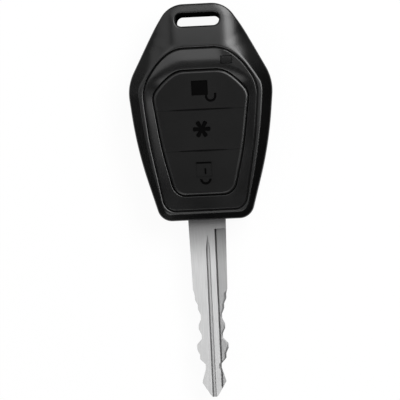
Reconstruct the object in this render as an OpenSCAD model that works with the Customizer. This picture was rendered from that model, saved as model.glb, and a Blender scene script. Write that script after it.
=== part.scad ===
// Remote-head car key: a six-sided plastic fob with three press buttons and a fixed double-edged blade.
// The key lies on its back. +Z points out of the button face and the blade points along -Y.
// Lengths are millimetres. Heights are measured from the flat back that the key rests on.

/* [Head outline] */
// Length of the head from the blade end to the ring end
head_len = 54; // [52:0.5:58]
// Width across the corners of the ring end
head_top_w = 13.9; // [13.4:0.1:15]
// Corner radius at the ring end
head_top_r = 6.7; // [5:0.1:7]
// Width at the knee of the upper flank
head_flank_w = 22.6; // [22.2:0.1:23.2]
// Distance from the ring end down to that knee
head_flank_drop = 6.3; // [6:0.1:6.6]
// Radius that bows the upper flank
head_flank_r = 60; // [30:1:65]
// Width across the widest corners
head_wide_w = 36.6; // [35.8:0.1:38.6]
// Distance from the ring end down to the widest corners
head_wide_drop = 19.7; // [19:0.1:20.4]
// Radius of the widest corners
head_wide_r = 12; // [10:0.5:13]
// Width at the knee of the lower flank
head_side_w = 33; // [32.6:0.1:33.8]
// Distance from the blade end up to that knee
head_side_y = 18.2; // [17:0.1:19]
// Radius that bows the lower flank
head_side_r = 100; // [60:1:110]
// Width across the corners of the blade end
head_foot_w = 22.4; // [22:0.1:23.4]
// Corner radius at the blade end
head_foot_r = 3.7; // [3.2:0.1:4.2]

/* [Case] */
// Thickness of the closed case, back to front face
case_t = 12; // [11.8:0.1:13]
// Height of the seam between the two shells
split_z = 5.8; // [5.6:0.1:6]
// Thickness of the side walls
wall = 1.8; // [1.6:0.05:2]
// Thickness of the front shell's roof
roof_t = 1.6; // [1.4:0.05:1.8]
// Thickness of the rear shell's floor
floor_t = 1.6; // [1.4:0.05:1.8]
// Height of the sloping skirt round the front face
skirt_h = 3.6; // [3.2:0.1:3.8]
// Width of that skirt at the widest corners
skirt_side = 2.85; // [2.7:0.05:3]
// Width of that skirt at the knees of the lower flanks
skirt_knee = 2.45; // [2.3:0.05:2.6]
// Width of that skirt at the corners of the blade end
skirt_corner = 1.6; // [1.5:0.05:1.7]
// Width of that skirt at the blade end
skirt_foot = 1.8; // [1.7:0.05:1.9]
// Width of that skirt on the upper flanks
skirt_flank = 3.8; // [3.4:0.1:4]
// Width of that skirt at the ring end
skirt_top = 1.6; // [1.4:0.1:1.8]
// Height of the bevel round the back
back_bevel_h = 2.6; // [2:0.1:2.8]
// Width of the bevel round the back
back_bevel_w = 2.4; // [2:0.1:2.5]
// Height of the rear shell's inner ledge above that bevel
rear_ledge_rise = 0.8; // [0.6:0.05:1]
// Width of that ledge
rear_ledge_w = 1.7; // [1.5:0.05:1.8]
// Depth of the solid block at the blade end
foot_block = 3.4; // [3.2:0.1:3.6]

/* [Ring slot] */
// Length of the slot for a key ring
slot_len = 10.9; // [9:0.1:11.4]
// Width of the slot for a key ring
slot_w = 3.3; // [3.1:0.1:3.5]
// Corner radius of the slot
slot_r = 1.5; // [1:0.1:1.5]
// Thickness of the web between the slot and the ring end
slot_web = 2.6; // [2.4:0.1:2.7]
// Rounding of the slot's rims
slot_rim = 0.45; // [0.3:0.05:0.6]

/* [Bezel frame] */
// Distance from the ring end down to the top edge of the bezel
bezel_top_drop = 11; // [10.8:0.1:11.4]
// Distance from the blade end up to the bottom edge of the bezel
bezel_foot_rise = 2.3; // [2.2:0.05:2.6]
// Width of the front shell's border at the widest corners
border_wide = 3.7; // [3.6:0.05:3.9]
// Width of the border at the lower knees
border_side = 3.3; // [3.2:0.05:3.5]
// Width of the border at the corners of the blade end
border_foot = 1.2; // [1.1:0.05:1.4]
// Width of the border at the knees of the upper flanks
border_flank = 0.6; // [0.5:0.05:0.8]
// Distance by which the bezel's top corners lie inside those of the ring end
border_top = 0.5; // [0.4:0.05:0.7]
// Rise of the bezel's lower knees above those of the head
bezel_side_rise = 1.6; // [1.2:0.1:2]
// Drop of the bezel's widest corners below those of the head
bezel_wide_drop = 0.8; // [0.6:0.1:1]
// Drop of the bezel's upper knees below its top edge
bezel_flank_drop = 3.7; // [3.5:0.1:3.9]
// Corner radius of the bezel at the blade end
bezel_foot_r = 3.3; // [2.8:0.1:3.6]
// Radius that bows the bezel's lower flanks
bezel_side_r = 60; // [30:1:70]
// Radius of the bezel's widest corners
bezel_wide_r = 10; // [6:0.5:10.5]
// Radius that bows the bezel's upper flanks
bezel_flank_r = 14; // [8:0.5:15]
// Corner radius of the bezel at its top edge
bezel_top_r = 8; // [5:0.5:8.5]
// Gap between the bezel and the front shell
bezel_gap = 0.25; // [0.1:0.05:0.3]
// Width of the flange that holds the bezel under the roof
bezel_flange_w = 0.5; // [0.4:0.05:0.6]
// Thickness of that flange
bezel_flange_t = 0.5; // [0.4:0.05:0.6]
// Height of the bezel's crown above the front face
bezel_crown = 0.25; // [0:0.05:0.4]
// Width of the bevels along the bezel's crown
bezel_bevel = 0.7; // [0.4:0.05:0.8]
// Depth to which those bevels reach below the front face
bezel_bevel_drop = 0.25; // [0.15:0.05:0.35]

/* [Buttons] */
// Width of the bezel's top rail above the buttons
rail_top = 5.6; // [5.3:0.1:5.7]
// Width of the bezel's bottom rail below the buttons
rail_foot = 3.8; // [3.5:0.1:4]
// Width of the bezel's side rails at the widest corners
rail_wide = 2.45; // [2.35:0.05:2.7]
// Width of the side rails at the lower knees
rail_side = 3; // [2.7:0.1:3.1]
// Width of the side rails at the blade end
rail_corner = 2.65; // [2.4:0.05:2.8]
// Width of the side rails at the upper knees
rail_flank = 1.5; // [1.3:0.05:1.6]
// Distance by which the buttons' top corners lie inside those of the bezel
rail_crown = 0.55; // [0.4:0.05:0.7]
// Drop of the buttons' lower knees below those of the bezel
button_side_drop = 2.1; // [1.8:0.1:2.4]
// Drop of the buttons' widest corners below those of the bezel
button_wide_drop = 2; // [1.8:0.1:2.2]
// Drop of the buttons' upper knees below their top edge
button_flank_drop = 2.5; // [2.3:0.1:2.6]
// Corner radius of the buttons at the blade end
button_foot_r = 3.5; // [2.5:0.1:4]
// Radius that bows the buttons' lower flanks
button_side_r = 80; // [40:1:90]
// Radius of the buttons' widest corners
button_wide_r = 4; // [3:0.1:4.2]
// Radius that bows the buttons' upper flanks
button_flank_r = 18; // [10:0.5:19]
// Corner radius of the buttons at their top edge
button_top_r = 6; // [4:0.1:6.2]
// Depth of the button face below the front face
button_recess = 0.1; // [0:0.05:0.3]
// Running gap round the buttons and between them
button_gap = 0.15; // [0.1:0.01:0.2]
// Width of the flange that keeps the buttons under the bezel
button_flange_w = 0.8; // [0.6:0.05:0.8]
// Thickness of that flange
button_flange_t = 0.7; // [0.6:0.05:0.8]
// Rounding of the buttons' outer edge
button_edge = 0.3; // [0.2:0.05:0.4]
// Height of the upper crease between buttons above the blade end
crease_high_y = 27.5; // [27:0.1:28]
// Height of the lower crease between buttons above the blade end
crease_low_y = 17.25; // [16.8:0.05:17.8]
// Length of the upper crease groove
crease_high_len = 17; // [12:0.5:18]
// Length of the lower crease groove
crease_low_len = 13; // [9:0.5:15]
// Depth of the sunk symbols and crease grooves
mark_depth = 0.25; // [0.1:0.05:0.4]

/* [Symbols] */
// Width of the padlock's body
lock_w = 4.1; // [3:0.1:4.5]
// Height of the padlock's body
lock_h = 3.7; // [3:0.1:4]
// Radius of the padlock's bow
bow_r = 1.2; // [0.9:0.05:1.3]
// Width of the symbols' thin lines
line_w = 0.38; // [0.25:0.01:0.5]
// Rise of the open padlock's body above the middle of its button
unlock_rise = 0.45; // [0.2:0.05:0.5]
// Distance of the open padlock's bow to the side of its body
bow_side = 0.5; // [0.4:0.05:0.8]
// Distance of the open padlock's bow below its body
open_drop = 0.6; // [0.4:0.05:0.7]
// Rise of the shut padlock's body above the middle of its button
lock_rise = 0.7; // [0.4:0.05:0.9]
// Distance of the shut padlock's bow below its body
shut_drop = 0.4; // [0.3:0.05:0.6]
// Length of an arm of the star
star_r = 2.1; // [1.6:0.1:2.5]
// Width of an arm of the star
star_w = 0.85; // [0.6:0.05:1]

/* [Status light] */
// Offset of the light window to the right of the centre line
lamp_x = 7.2; // [6.4:0.1:7.4]
// Distance from the buttons up to the middle of the window
lamp_rise = 2.2; // [2.1:0.05:2.4]
// Width of the window
lamp_w = 2.8; // [2.2:0.1:2.9]
// Height of the window
lamp_h = 1.8; // [1.5:0.1:1.9]
// Height of the lamp on the circuit board
lamp_t = 0.6; // [0.4:0.05:0.7]

/* [Keymat and circuit board] */
// Thickness of the silicone keymat
mat_t = 0.6; // [0.5:0.05:0.7]
// Overhang of the keymat past the buttons
mat_margin = 1.6; // [1.4:0.05:1.7]
// Width of the keymat's sealing foot
mat_foot_w = 0.8; // [0.6:0.05:0.9]
// Height of a push switch with its stem
switch_h = 0.8; // [0.75:0.05:0.9]
// Height that the stem stands out of the switch
stem_h = 0.35; // [0.32:0.01:0.38]
// Travel of a stem into its switch
stem_travel = 0.3; // [0.2:0.01:0.3]
// Side of the square push switches
switch_w = 4.5; // [4:0.1:4.8]
// Diameter of the switch stems
stem_d = 2; // [1.6:0.1:2.4]
// Thickness of the circuit board
board_t = 0.8; // [0.6:0.05:0.8]
// Gap from the case wall to the edge of the circuit board
board_margin = 1.7; // [1.5:0.05:1.9]
// Gap from the upper end of the hollow to the circuit board
board_end_gap = 0.7; // [0.5:0.05:0.9]
// Distance from the edge of the circuit board in to its posts
post_margin = 1.9; // [1.8:0.05:2.2]
// Distance from the screws out to the large parts beside the tang
chip_out = 0.9; // [0.8:0.05:1]
// Rise of those parts above the middle of the lowest button
chip_rise = 2; // [1.8:0.1:2.2]
// Distance from the blade end up to the circuit board
board_foot_y = 4.8; // [4.6:0.1:5]

/* [Battery] */
// Diameter of the coin cell
cell_d = 20; // [19.5:0.1:20]
// Thickness of the coin cell
cell_t = 3.2; // [2.5:0.1:3.2]
// Distance of the cell's middle from the blade end
cell_y = 27; // [26.6:0.1:27.3]
// Thickness of the battery contacts
contact_t = 0.3; // [0.25:0.01:0.35]
// Diameter of the upper battery contact
contact_d = 9; // [7:0.5:12]
// Width of the battery clip's strap
clip_w = 6; // [5:0.1:7]

/* [Blade] */
// Length of the blade outside the head
blade_len = 44.6; // [43:0.1:48]
// Thickness of the blade
blade_t = 2.6; // [2.3:0.05:2.7]
// Width of the blade at the head
blade_w = 9.4; // [9:0.05:9.6]
// Width of the blade where the cuts begin
blade_cut_w = 8.6; // [8.2:0.05:8.8]
// Distance from the head to the middle of the first cut
first_cut = 19.4; // [18.5:0.1:20]
// Distance from one cut to the next
cut_pitch = 2.5; // [2.3:0.05:2.55]
// Depth of one step of the cut code
cut_step = 0.65; // [0.5:0.01:0.66]
// Length of the flat bottom of a cut
cut_land = 1.1; // [0.8:0.05:1.3]
// Length of the pointed tip
tip_len = 3.7; // [3:0.1:4]
// Width of the blunt end of the tip
tip_w = 2; // [1.6:0.1:2.6]
// Width of the central groove
groove_w = 1; // [0.7:0.05:1.2]
// Depth of the grooves
groove_depth = 0.5; // [0.3:0.05:0.6]
// Distance from the centre line to the stepped side
step_x = 1.85; // [1.6:0.05:2]
// Width of the relief slot along the step
relief_w = 0.4; // [0.3:0.05:0.5]
// Depth of the relief slot below the grooves
relief_depth = 0.3; // [0.1:0.05:0.4]
// Distance from the head to the start of the step
step_start = 2.4; // [1.5:0.1:3]
// Distance from the head to the start of the central groove
groove_start = 3.8; // [3:0.1:5]
// Width of the tang inside the head
tang_w = 8; // [7.6:0.1:8.2]
// Length of the tang inside the head
tang_len = 11.5; // [10.8:0.1:12]
// Thickness of the walls that seat the tang
tang_wall = 1.4; // [1.2:0.05:1.5]
// Diameter of the tang's retaining pin
pin_d = 2; // [1.8:0.1:2.2]
// Wall of that rolled pin
pin_wall = 0.4; // [0.3:0.05:0.5]
// Distance of the retaining pin from the blade end
pin_y = 8; // [7.5:0.1:8.5]

/* [Transponder] */
// Diameter of the glass capsule
capsule_d = 2.1; // [1.9:0.1:2.2]
// Length of the glass capsule
capsule_len = 12; // [11:0.1:12.5]
// Gap between the capsule and the seat of the tang
capsule_gap = 0.9; // [0.8:0.05:1]
// Gap between the capsule and the screw post below it
capsule_rise = 1.5; // [1.3:0.1:1.6]
// Distance between the two saddles that carry the capsule
saddle_span = 7.2; // [6:0.1:8]

/* [Fasteners] */
// Shank diameter of the case screws
screw_d = 2; // [1.8:0.05:2.1]
// Head diameter of the case screws
screw_head_d = 3.4; // [3.2:0.1:3.5]
// Head height of the case screws
screw_head_h = 1.2; // [1:0.1:1.3]
// Depth of the screw heads below the back
screw_sink = 0.8; // [0.6:0.05:0.9]
// Length of the screw shanks
screw_len = 5.6; // [5.2:0.1:5.7]
// Wall of the plastic posts round the screws
screw_wall = 0.9; // [0.8:0.05:1]
// Half spacing of the two screws beside the blade
screw_foot_x = 7.6; // [7.5:0.05:7.7]
// Distance of those screws from the blade end
screw_foot_y = 4.2; // [4.1:0.05:4.3]

/* [Gasket and clearances] */
// Distance from the outline in to the seam gasket
gasket_in = 0.65; // [0.5:0.05:0.7]
// Width of the seam gasket
gasket_w = 0.5; // [0.3:0.05:0.5]
// Height of the seam gasket
gasket_h = 0.5; // [0.3:0.05:0.8]
// Clearance of parts that are fitted by hand
fit_gap = 0.05; // [0.03:0.01:0.08]
// Clearance of parts that stand free of each other
free_gap = 0.2; // [0.15:0.01:0.25]

/* [Hidden] */
$fn = 48;

// Steps in the arc of each rounded corner.
arc_steps = 6;
// How far a cutter runs past what it cuts, and how deep a post is rooted in a floor.
over = 1;
root = 0.2;

// The middle of the whole key's length lies at the origin.
origin_y = (head_len - blade_len) / 2;

// Heights of the stack, from the front face down to the coin cell.
roof_z = case_t - roof_t;
mat_top_z = roof_z - bezel_flange_t;
mat_bottom_z = mat_top_z - mat_t;
switch_top_z = mat_bottom_z - stem_h;
board_top_z = mat_bottom_z - switch_h;
board_bottom_z = board_top_z - board_t;
cell_top_z = board_bottom_z - contact_t;
cell_bottom_z = cell_top_z - cell_t;
clip_bottom_z = cell_bottom_z - contact_t;

// Heights of the case and of the pieces that show.
front_wall_z = case_t - skirt_h;
ledge_z = board_top_z + 1.5 * free_gap;
rear_ledge_z = back_bevel_h + rear_ledge_rise;
crown_z = case_t + bezel_crown;
button_top_z = case_t - button_recess;
button_flange_z = mat_top_z + button_flange_t;
blade_bottom_z = split_z - blade_t / 2;
blade_top_z = split_z + blade_t / 2;

// Corners of the outlines, right half from the blade end to the ring end, as x, y and radius.
head_wide_y = head_len - head_wide_drop;
head_flank_y = head_len - head_flank_drop;
head_half = [
    [head_foot_w / 2, 0, head_foot_r],
    [head_side_w / 2, head_side_y, head_side_r],
    [head_wide_w / 2, head_wide_y, head_wide_r],
    [head_flank_w / 2, head_flank_y, head_flank_r],
    [head_top_w / 2, head_len, head_top_r]
];
bezel_top_y = head_len - bezel_top_drop;
bezel_half = [
    [head_foot_w / 2 - border_foot, bezel_foot_rise, bezel_foot_r],
    [head_side_w / 2 - border_side, head_side_y + bezel_side_rise, bezel_side_r],
    [head_wide_w / 2 - border_wide, head_wide_y - bezel_wide_drop, bezel_wide_r],
    [head_flank_w / 2 - border_flank, bezel_top_y - bezel_flank_drop, bezel_flank_r],
    [head_top_w / 2 - border_top, bezel_top_y, bezel_top_r]
];
button_top_y = bezel_top_y - rail_top;
button_foot_y = bezel_foot_rise + rail_foot;
button_half = [
    [bezel_half[0].x - rail_corner, button_foot_y, button_foot_r],
    [bezel_half[1].x - rail_side, bezel_half[1].y - button_side_drop, button_side_r],
    [bezel_half[2].x - rail_wide, bezel_half[2].y - button_wide_drop, button_wide_r],
    [bezel_half[3].x - rail_flank, button_top_y - button_flank_drop, button_flank_r],
    [bezel_half[4].x - rail_crown, button_top_y, button_top_r]
];
slot_y = head_len - slot_web - slot_w / 2;
slot_half = [
    [slot_len / 2, slot_y - slot_w / 2, slot_r],
    [slot_len / 2, slot_y + slot_w / 2, slot_r]
];
head_line = outline(both_sides(head_half));
bezel_line = outline(both_sides(bezel_half));
button_line = outline(both_sides(button_half));
slot_line = outline(both_sides(slot_half));

// Width of the front skirt along the outline, by distance from the blade end.
skirt_table = [
    [0, skirt_foot],
    [head_foot_r, skirt_corner],
    [head_side_y, skirt_knee],
    [head_wide_y, skirt_side],
    [(head_wide_y + head_flank_y) / 2, skirt_flank],
    [head_len, skirt_top]
];
// Section of the front skirt from the wall up, as shares of its width and height.
skirt_profile = [[0, 0], [0.08, 0.24], [0.76, 0.86], [0.9, 0.965], [1, 1]];
// Section of the back bevel from the back up, as shares of its width and height.
back_profile = [[1, 0], [0.55, 0.2], [0.14, 0.68], [0, 1]];
// Section of a rounded slot rim from the face inwards, as shares of its size.
rim_profile = [[1.35, -0.35], [0.3, 0.3], [0, 1]];

// Places of the switches, screws and posts.
unlock_y = (crease_high_y + button_top_y) / 2;
star_y = (crease_low_y + crease_high_y) / 2;
lock_y = (button_foot_y + crease_low_y) / 2;
lamp_y = button_top_y + lamp_rise;
screw_hole_r = screw_head_d / 2 + free_gap;
screw_top_y = slot_y - slot_w / 2 - slot_rim - 1.5 * free_gap - screw_hole_r;
screw_places = [[-screw_foot_x, screw_foot_y], [screw_foot_x, screw_foot_y], [0, screw_top_y]];
screw_post_r = screw_d / 2 + screw_wall;
screw_rest_z = screw_sink + screw_head_h;
screw_end_z = screw_rest_z + screw_len;
front_cavity_y = bezel_top_y + 1.5 * free_gap;
rear_cavity_y = screw_top_y - screw_hole_r - screw_wall;
rear_wall = wall + rear_ledge_w;
board_inset = wall + board_margin;
board_top_y = front_cavity_y - board_end_gap;
post_r = 1.2;
peg_r = 0.6;
post_places = [for (corner = [1, 2]) inside_corner(head_line, corner, board_inset + post_margin)];

// Places and sizes of the parts inside.
stem_low_z = board_top_z + stem_travel + 1.4 * fit_gap;
cradle_r = 7;
cradle_wall = 1.2;
clip_leg_x = cell_d / 2 + 2 * free_gap;
tang_seat_y = tang_len + 3 * free_gap;
pin_low_z = floor_t + 3 * free_gap;
pin_high_z = board_bottom_z - free_gap;
capsule_r = capsule_d / 2;
capsule_x = -tang_w / 2 - tang_wall - capsule_r - capsule_gap;
capsule_y = screw_foot_y + screw_post_r + capsule_len / 2 + capsule_rise;
capsule_z = floor_t + 3 * free_gap + capsule_r;
saddle_w = 1.6;
controller_size = [4, 5, 1.1];
radio_size = [3, 3, 0.7];
crystal_size = [3.2, 2.5, 0.7];
antenna_size = [3.4, 6, 2.6];
large_x = screw_foot_x + chip_out;
large_y = lock_y + chip_rise;
chip_size = [0.6, 1.2, 0.45];
chip_pitch = 1.5;
lamp_chip = [2, 1.2];

// The full width of the blade ends this far above the middle of the first cut.
cut_lead = 0.75 * cut_pitch;
// Depth codes of the cuts, the same on both edges, and of the shoulder before the tip.
cut_codes = [1, 2, 3, 2, 3, 1, 2, 4];
tip_code = 2;

function unit(v) = v / norm(v);

// A left-right symmetric list of corners from its right half.
function both_sides(half) = concat(half, [
    for (i = [len(half) - 1:-1:0]) [-half[i].x, half[i].y, half[i].z]
]);

// Corner i of a closed list, as x and y.
function spot(corners, i) =
    let (m = len(corners), c = corners[(i + m) % m])
    [c.x, c.y];

// Half of the angle between the two edges that meet at corner i.
function half_angle(corners, i) =
    let (p = spot(corners, i), a = unit(spot(corners, i - 1) - p), b = unit(spot(corners, i + 1) - p))
    acos(a * b) / 2;

// Length of edge that the rounding of corner i takes up on either side.
function rounding(corners, i) = corners[(i + len(corners)) % len(corners)].z / tan(half_angle(corners, i));

// Share of the roundings at both ends of the edge after corner i that finds room on it.
function room(corners, i) =
    let (edge = norm(spot(corners, i + 1) - spot(corners, i)))
    min(1, edge / (rounding(corners, i) + rounding(corners, i + 1) + fit_gap));

// Points of the arc that rounds corner i, each as x, y and the outward normal.
function corner_arc(corners, i) =
    let (
        p = spot(corners, i),
        a = unit(spot(corners, i - 1) - p),
        b = unit(spot(corners, i + 1) - p),
        half = half_angle(corners, i),
        r = corners[i].z * min(room(corners, i - 1), room(corners, i)),
        way = sign(cross(b, a)),
        centre = p + unit(a + b) * r / sin(half),
        from = p + a * r / tan(half) - centre,
        start = atan2(from.y, from.x),
        sweep = way * (180 - 2 * half)
    )
    [for (k = [0:arc_steps])
        let (angle = start + sweep * k / arc_steps, n = [cos(angle), sin(angle)])
        [centre.x + r * n.x, centre.y + r * n.y, way * n.x, way * n.y]];

// Points of a closed outline whose corners are rounded, as far as its edges leave room.
function outline(corners) = [for (i = [0:len(corners) - 1]) each corner_arc(corners, i)];

// The point that lies inside the middle of a rounded corner, at a distance from the outline.
function inside_corner(line, i, distance) =
    let (p = line[i * (arc_steps + 1) + arc_steps / 2])
    [p.x - p[2] * distance, p.y - p[3] * distance];

// An outline moved outwards by grow, flat or lifted to a height.
function flat_ring(line, grow) = [for (p = line) [p.x + p[2] * grow, p.y + p[3] * grow]];
function ring(line, grow, z) = [for (p = flat_ring(line, grow)) [p.x, p.y, z]];

// The head's outline moved in by a share of the front skirt, lifted to a height.
function skirt_ring(share, z) = [
    for (p = head_line)
        let (inset = share * lookup(p.y, skirt_table))
        [p.x - p[2] * inset, p.y - p[3] * inset, z]
];

// Triangles between two rings of a loft.
function band(i, k, n) = [
    for (j = [0:n - 1])
        let (a = i * n + j, b = i * n + (j + 1) % n, c = k * n + (j + 1) % n, d = k * n + j)
        each [[a, d, c], [a, c, b]]
];

// A solid through a stack of rings, closed by its first and last ring.
module loft(rings) {
    n = len(rings[0]);
    m = len(rings);
    sides = [for (i = [0:m - 2]) each band(i, i + 1, n)];
    bottom = [for (j = [0:n - 1]) j];
    top = [for (j = [n - 1:-1:0]) (m - 1) * n + j];
    polyhedron([for (r = rings) each r], concat(sides, [bottom, top]), convexity = 6);
}

// A closed frame through rings that run up its outside and down its inside.
module frame_loft(rings) {
    n = len(rings[0]);
    m = len(rings);
    sides = [for (i = [0:m - 1]) each band(i, (i + 1) % m, n)];
    polyhedron([for (r = rings) each r], sides, convexity = 8);
}

// An upright prism, block or round post between two heights or corners.
module prism(points, low, high) {
    translate([0, 0, low])
        linear_extrude(height = high - low)
            polygon(points);
}

module block(low, high) {
    translate(low)
        cube(high - low);
}

module post(place, r, low, high) {
    translate([place.x, place.y, low])
        cylinder(r = r, h = high - low);
}

// Moves a piece from the head's frame, whose y starts at the blade end, to the key's frame.
module placed() {
    translate([0, -origin_y, 0])
        children();
}

// Case: two shells that meet at the seam.

module front_form() {
    loft(concat(
        [skirt_ring(0, split_z)],
        [for (s = skirt_profile) skirt_ring(s.x, front_wall_z + s.y * skirt_h)]
    ));
}

module rear_form() {
    loft(concat(
        [for (s = back_profile) ring(head_line, -s.x * back_bevel_w, s.y * back_bevel_h)],
        [ring(head_line, 0, split_z)]
    ));
}

module slot_cutter() {
    loft(concat(
        [for (s = rim_profile) ring(slot_line, s.x * slot_rim, s.y * slot_rim)],
        [for (i = [len(rim_profile) - 1:-1:0])
            let (s = rim_profile[i])
            ring(slot_line, s.x * slot_rim, case_t - s.y * slot_rim)]
    ));
}

// The part of the hollow between the block at the blade end and the solid ring end.
module hollow(inset, low, high, top_y) {
    intersection() {
        prism(flat_ring(head_line, -inset), low, high);
        block([-head_wide_w, foot_block, low - over], [head_wide_w, top_y, high + over]);
    }
}

module blade_notch(low, high) {
    half = blade_w / 2 + fit_gap;
    block([-half, -over, low], [half, foot_block + over, high]);
}

module front_shell() {
    boss_top_z = board_bottom_z + board_t / 2;
    color("#1b1b1d")
    placed()
    difference() {
        union() {
            difference() {
                front_form();
                hollow(wall, split_z - over, ledge_z, front_cavity_y);
                prism(flat_ring(bezel_line, bezel_flange_w + free_gap), ledge_z - root, roof_z);
                prism(flat_ring(bezel_line, 0), roof_z - root, case_t + over);
            }
            for (side = [-1, 1])
                post([side * screw_foot_x, screw_foot_y], screw_post_r, split_z, boss_top_z);
        }
        slot_cutter();
        blade_notch(split_z - over, blade_top_z);
        for (place = screw_places)
            post(place, screw_d / 2, split_z - over, screw_end_z + free_gap);
    }
}

module rear_shell() {
    root_z = floor_t - root;
    post_top_z = split_z - fit_gap;
    color("#1b1b1d")
    placed()
    difference() {
        union() {
            difference() {
                rear_form();
                hollow(wall, rear_ledge_z, split_z + over, rear_cavity_y);
                hollow(rear_wall, floor_t, rear_ledge_z + root, rear_cavity_y);
                gasket_loop(fit_gap, split_z - gasket_h, split_z + over);
            }
            tang_seat(root_z, post_top_z);
            for (side = [-1, 1]) {
                post([side * screw_foot_x, screw_foot_y], screw_post_r, root_z, post_top_z);
                post([side * screw_foot_x, screw_foot_y], screw_hole_r + screw_wall, root_z, screw_rest_z + screw_wall);
                for (place = post_places) {
                    post([side * place.x, place.y], post_r, root_z, board_bottom_z);
                    post([side * place.x, place.y], peg_r, root_z, board_top_z - fit_gap);
                }
            }
            cell_cradle(root_z);
            capsule_saddles(root_z);
        }
        slot_cutter();
        blade_notch(blade_bottom_z, split_z + over);
        block(
            [-tang_w / 2 - fit_gap, foot_block, blade_bottom_z],
            [tang_w / 2 + fit_gap, tang_len + fit_gap, split_z + over]
        );
        post([0, pin_y], pin_d / 2 + fit_gap, pin_low_z, split_z);
        translate([capsule_x, capsule_y, capsule_z])
            rotate([90, 0, 0])
                cylinder(r = capsule_r + fit_gap, h = capsule_len, center = true);
        for (place = screw_places) {
            post(place, screw_d / 2 + free_gap, 0, split_z + over);
            post(place, screw_hole_r, -over, screw_rest_z);
        }
    }
}

module tang_seat(low, high) {
    half = tang_w / 2 + tang_wall;
    block([-half, foot_block - root, low], [half, tang_seat_y, high]);
}

module cell_cradle(low) {
    difference() {
        post([0, cell_y], cradle_r, low, clip_bottom_z);
        post([0, cell_y], cradle_r - cradle_wall, low - over, clip_bottom_z + over);
    }
}

module capsule_saddles(low) {
    half = capsule_r + 2 * free_gap;
    for (end = [-1, 1])
        translate([capsule_x, capsule_y + end * saddle_span / 2, 0])
            block([-half, -saddle_w / 2, low], [half, saddle_w / 2, capsule_z]);
}

// The seam gasket, open where the blade passes; gap widens it to the groove that holds it.
module gasket_loop(gap, low, high) {
    gate = screw_foot_x - gap;
    difference() {
        prism(flat_ring(head_line, gap - gasket_in), low, high);
        prism(flat_ring(head_line, -gasket_in - gasket_w - gap), low - over, high + over);
        block([-gate, -over, low - over], [gate, foot_block, high + over]);
    }
}

module seam_gasket() {
    color("#3a3a3c")
    placed()
        gasket_loop(0, split_z - gasket_h, split_z);
}

module case_screws() {
    drive_w = 0.45;
    drive_depth = 0.6;
    color("#8d8f92")
    placed()
    for (place = screw_places)
        difference() {
            union() {
                post(place, screw_head_d / 2, screw_sink, screw_rest_z);
                post(place, screw_d / 2 - fit_gap, screw_rest_z - root, screw_end_z);
            }
            translate([place.x, place.y, screw_sink])
                for (turn = [0, 90])
                    rotate(turn)
                        cube([0.6 * screw_head_d, drive_w, 2 * drive_depth], center = true);
        }
}

// Bezel, light window and buttons.

module bezel_frame() {
    pocket = button_flange_w + free_gap;
    lip_z = button_flange_z + fit_gap;
    bevel_z = case_t - bezel_bevel_drop;
    color("#26262a")
    placed()
    difference() {
        frame_loft([
            ring(bezel_line, bezel_flange_w, mat_top_z),
            ring(bezel_line, bezel_flange_w, roof_z),
            ring(bezel_line, -bezel_gap, roof_z),
            ring(bezel_line, -bezel_gap, bevel_z),
            ring(bezel_line, -bezel_gap - bezel_bevel, crown_z),
            ring(button_line, button_gap + bezel_bevel, crown_z),
            ring(button_line, button_gap, bevel_z),
            ring(button_line, button_gap, lip_z),
            ring(button_line, pocket, lip_z),
            ring(button_line, pocket, mat_top_z)
        ]);
        lamp_block(fit_gap, mat_top_z - over, crown_z + over);
    }
}

module lamp_block(gap, low, high) {
    half = [lamp_w / 2 + gap, lamp_h / 2 + gap];
    block([lamp_x - half.x, lamp_y - half.y, low], [lamp_x + half.x, lamp_y + half.y, high]);
}

module light_window() {
    color("#101012")
    placed()
        lamp_block(0, board_top_z + lamp_t, crown_z - fit_gap);
}

// One button is the stretch of the button field between two distances from the blade end.
module button(low_y, high_y) {
    intersection() {
        loft([
            ring(button_line, button_flange_w, mat_top_z),
            ring(button_line, button_flange_w, button_flange_z),
            ring(button_line, 0, button_flange_z),
            ring(button_line, 0, button_top_z - button_edge),
            ring(button_line, -button_edge, button_top_z)
        ]);
        block([-head_wide_w, low_y, 0], [head_wide_w, high_y, case_t + over]);
    }
}

// V groove along the crease between two buttons.
module crease(y, length) {
    side = mark_depth * sqrt(2);
    translate([0, y, button_top_z])
        rotate([45, 0, 0])
            cube([length, side, side], center = true);
}

// Sinks a flat symbol into a button's face.
module sunk(y) {
    translate([0, y, button_top_z - mark_depth])
        linear_extrude(height = mark_depth + over)
            children();
}

// Lower half of a ring: the bow of a padlock that hangs below its body.
module bow() {
    difference() {
        circle(r = bow_r + line_w / 2);
        circle(r = bow_r - line_w / 2);
        translate([-2 * bow_r, 0])
            square([4 * bow_r, 2 * bow_r]);
    }
}

// The symbols read with the blade pointing up. The open padlock's bow stands off to one side.
module unlock_button() {
    color("#232325")
    placed()
    difference() {
        button(crease_high_y + button_gap / 2, head_len);
        crease(crease_high_y, crease_high_len);
        sunk(unlock_y + unlock_rise) {
            square([lock_w, lock_h], center = true);
            translate([lock_w / 2 + bow_side, -lock_h / 2 - open_drop])
                bow();
        }
    }
}

module star_button() {
    color("#232325")
    placed()
    difference() {
        button(crease_low_y + button_gap / 2, crease_high_y - button_gap / 2);
        crease(crease_high_y, crease_high_len);
        crease(crease_low_y, crease_low_len);
        sunk(star_y)
            for (turn = [0, 60, 120])
                rotate(turn)
                    square([2 * star_r, star_w], center = true);
    }
}

module lock_button() {
    color("#232325")
    placed()
    difference() {
        button(-over, crease_low_y - button_gap / 2);
        crease(crease_low_y, crease_low_len);
        sunk(lock_y + lock_rise) {
            difference() {
                square([lock_w, lock_h], center = true);
                square([lock_w - 2 * line_w, lock_h - 2 * line_w], center = true);
            }
            translate([0, -lock_h / 2 - shut_drop])
                bow();
        }
    }
}

// Keymat, circuit board and what is soldered to it.

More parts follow.
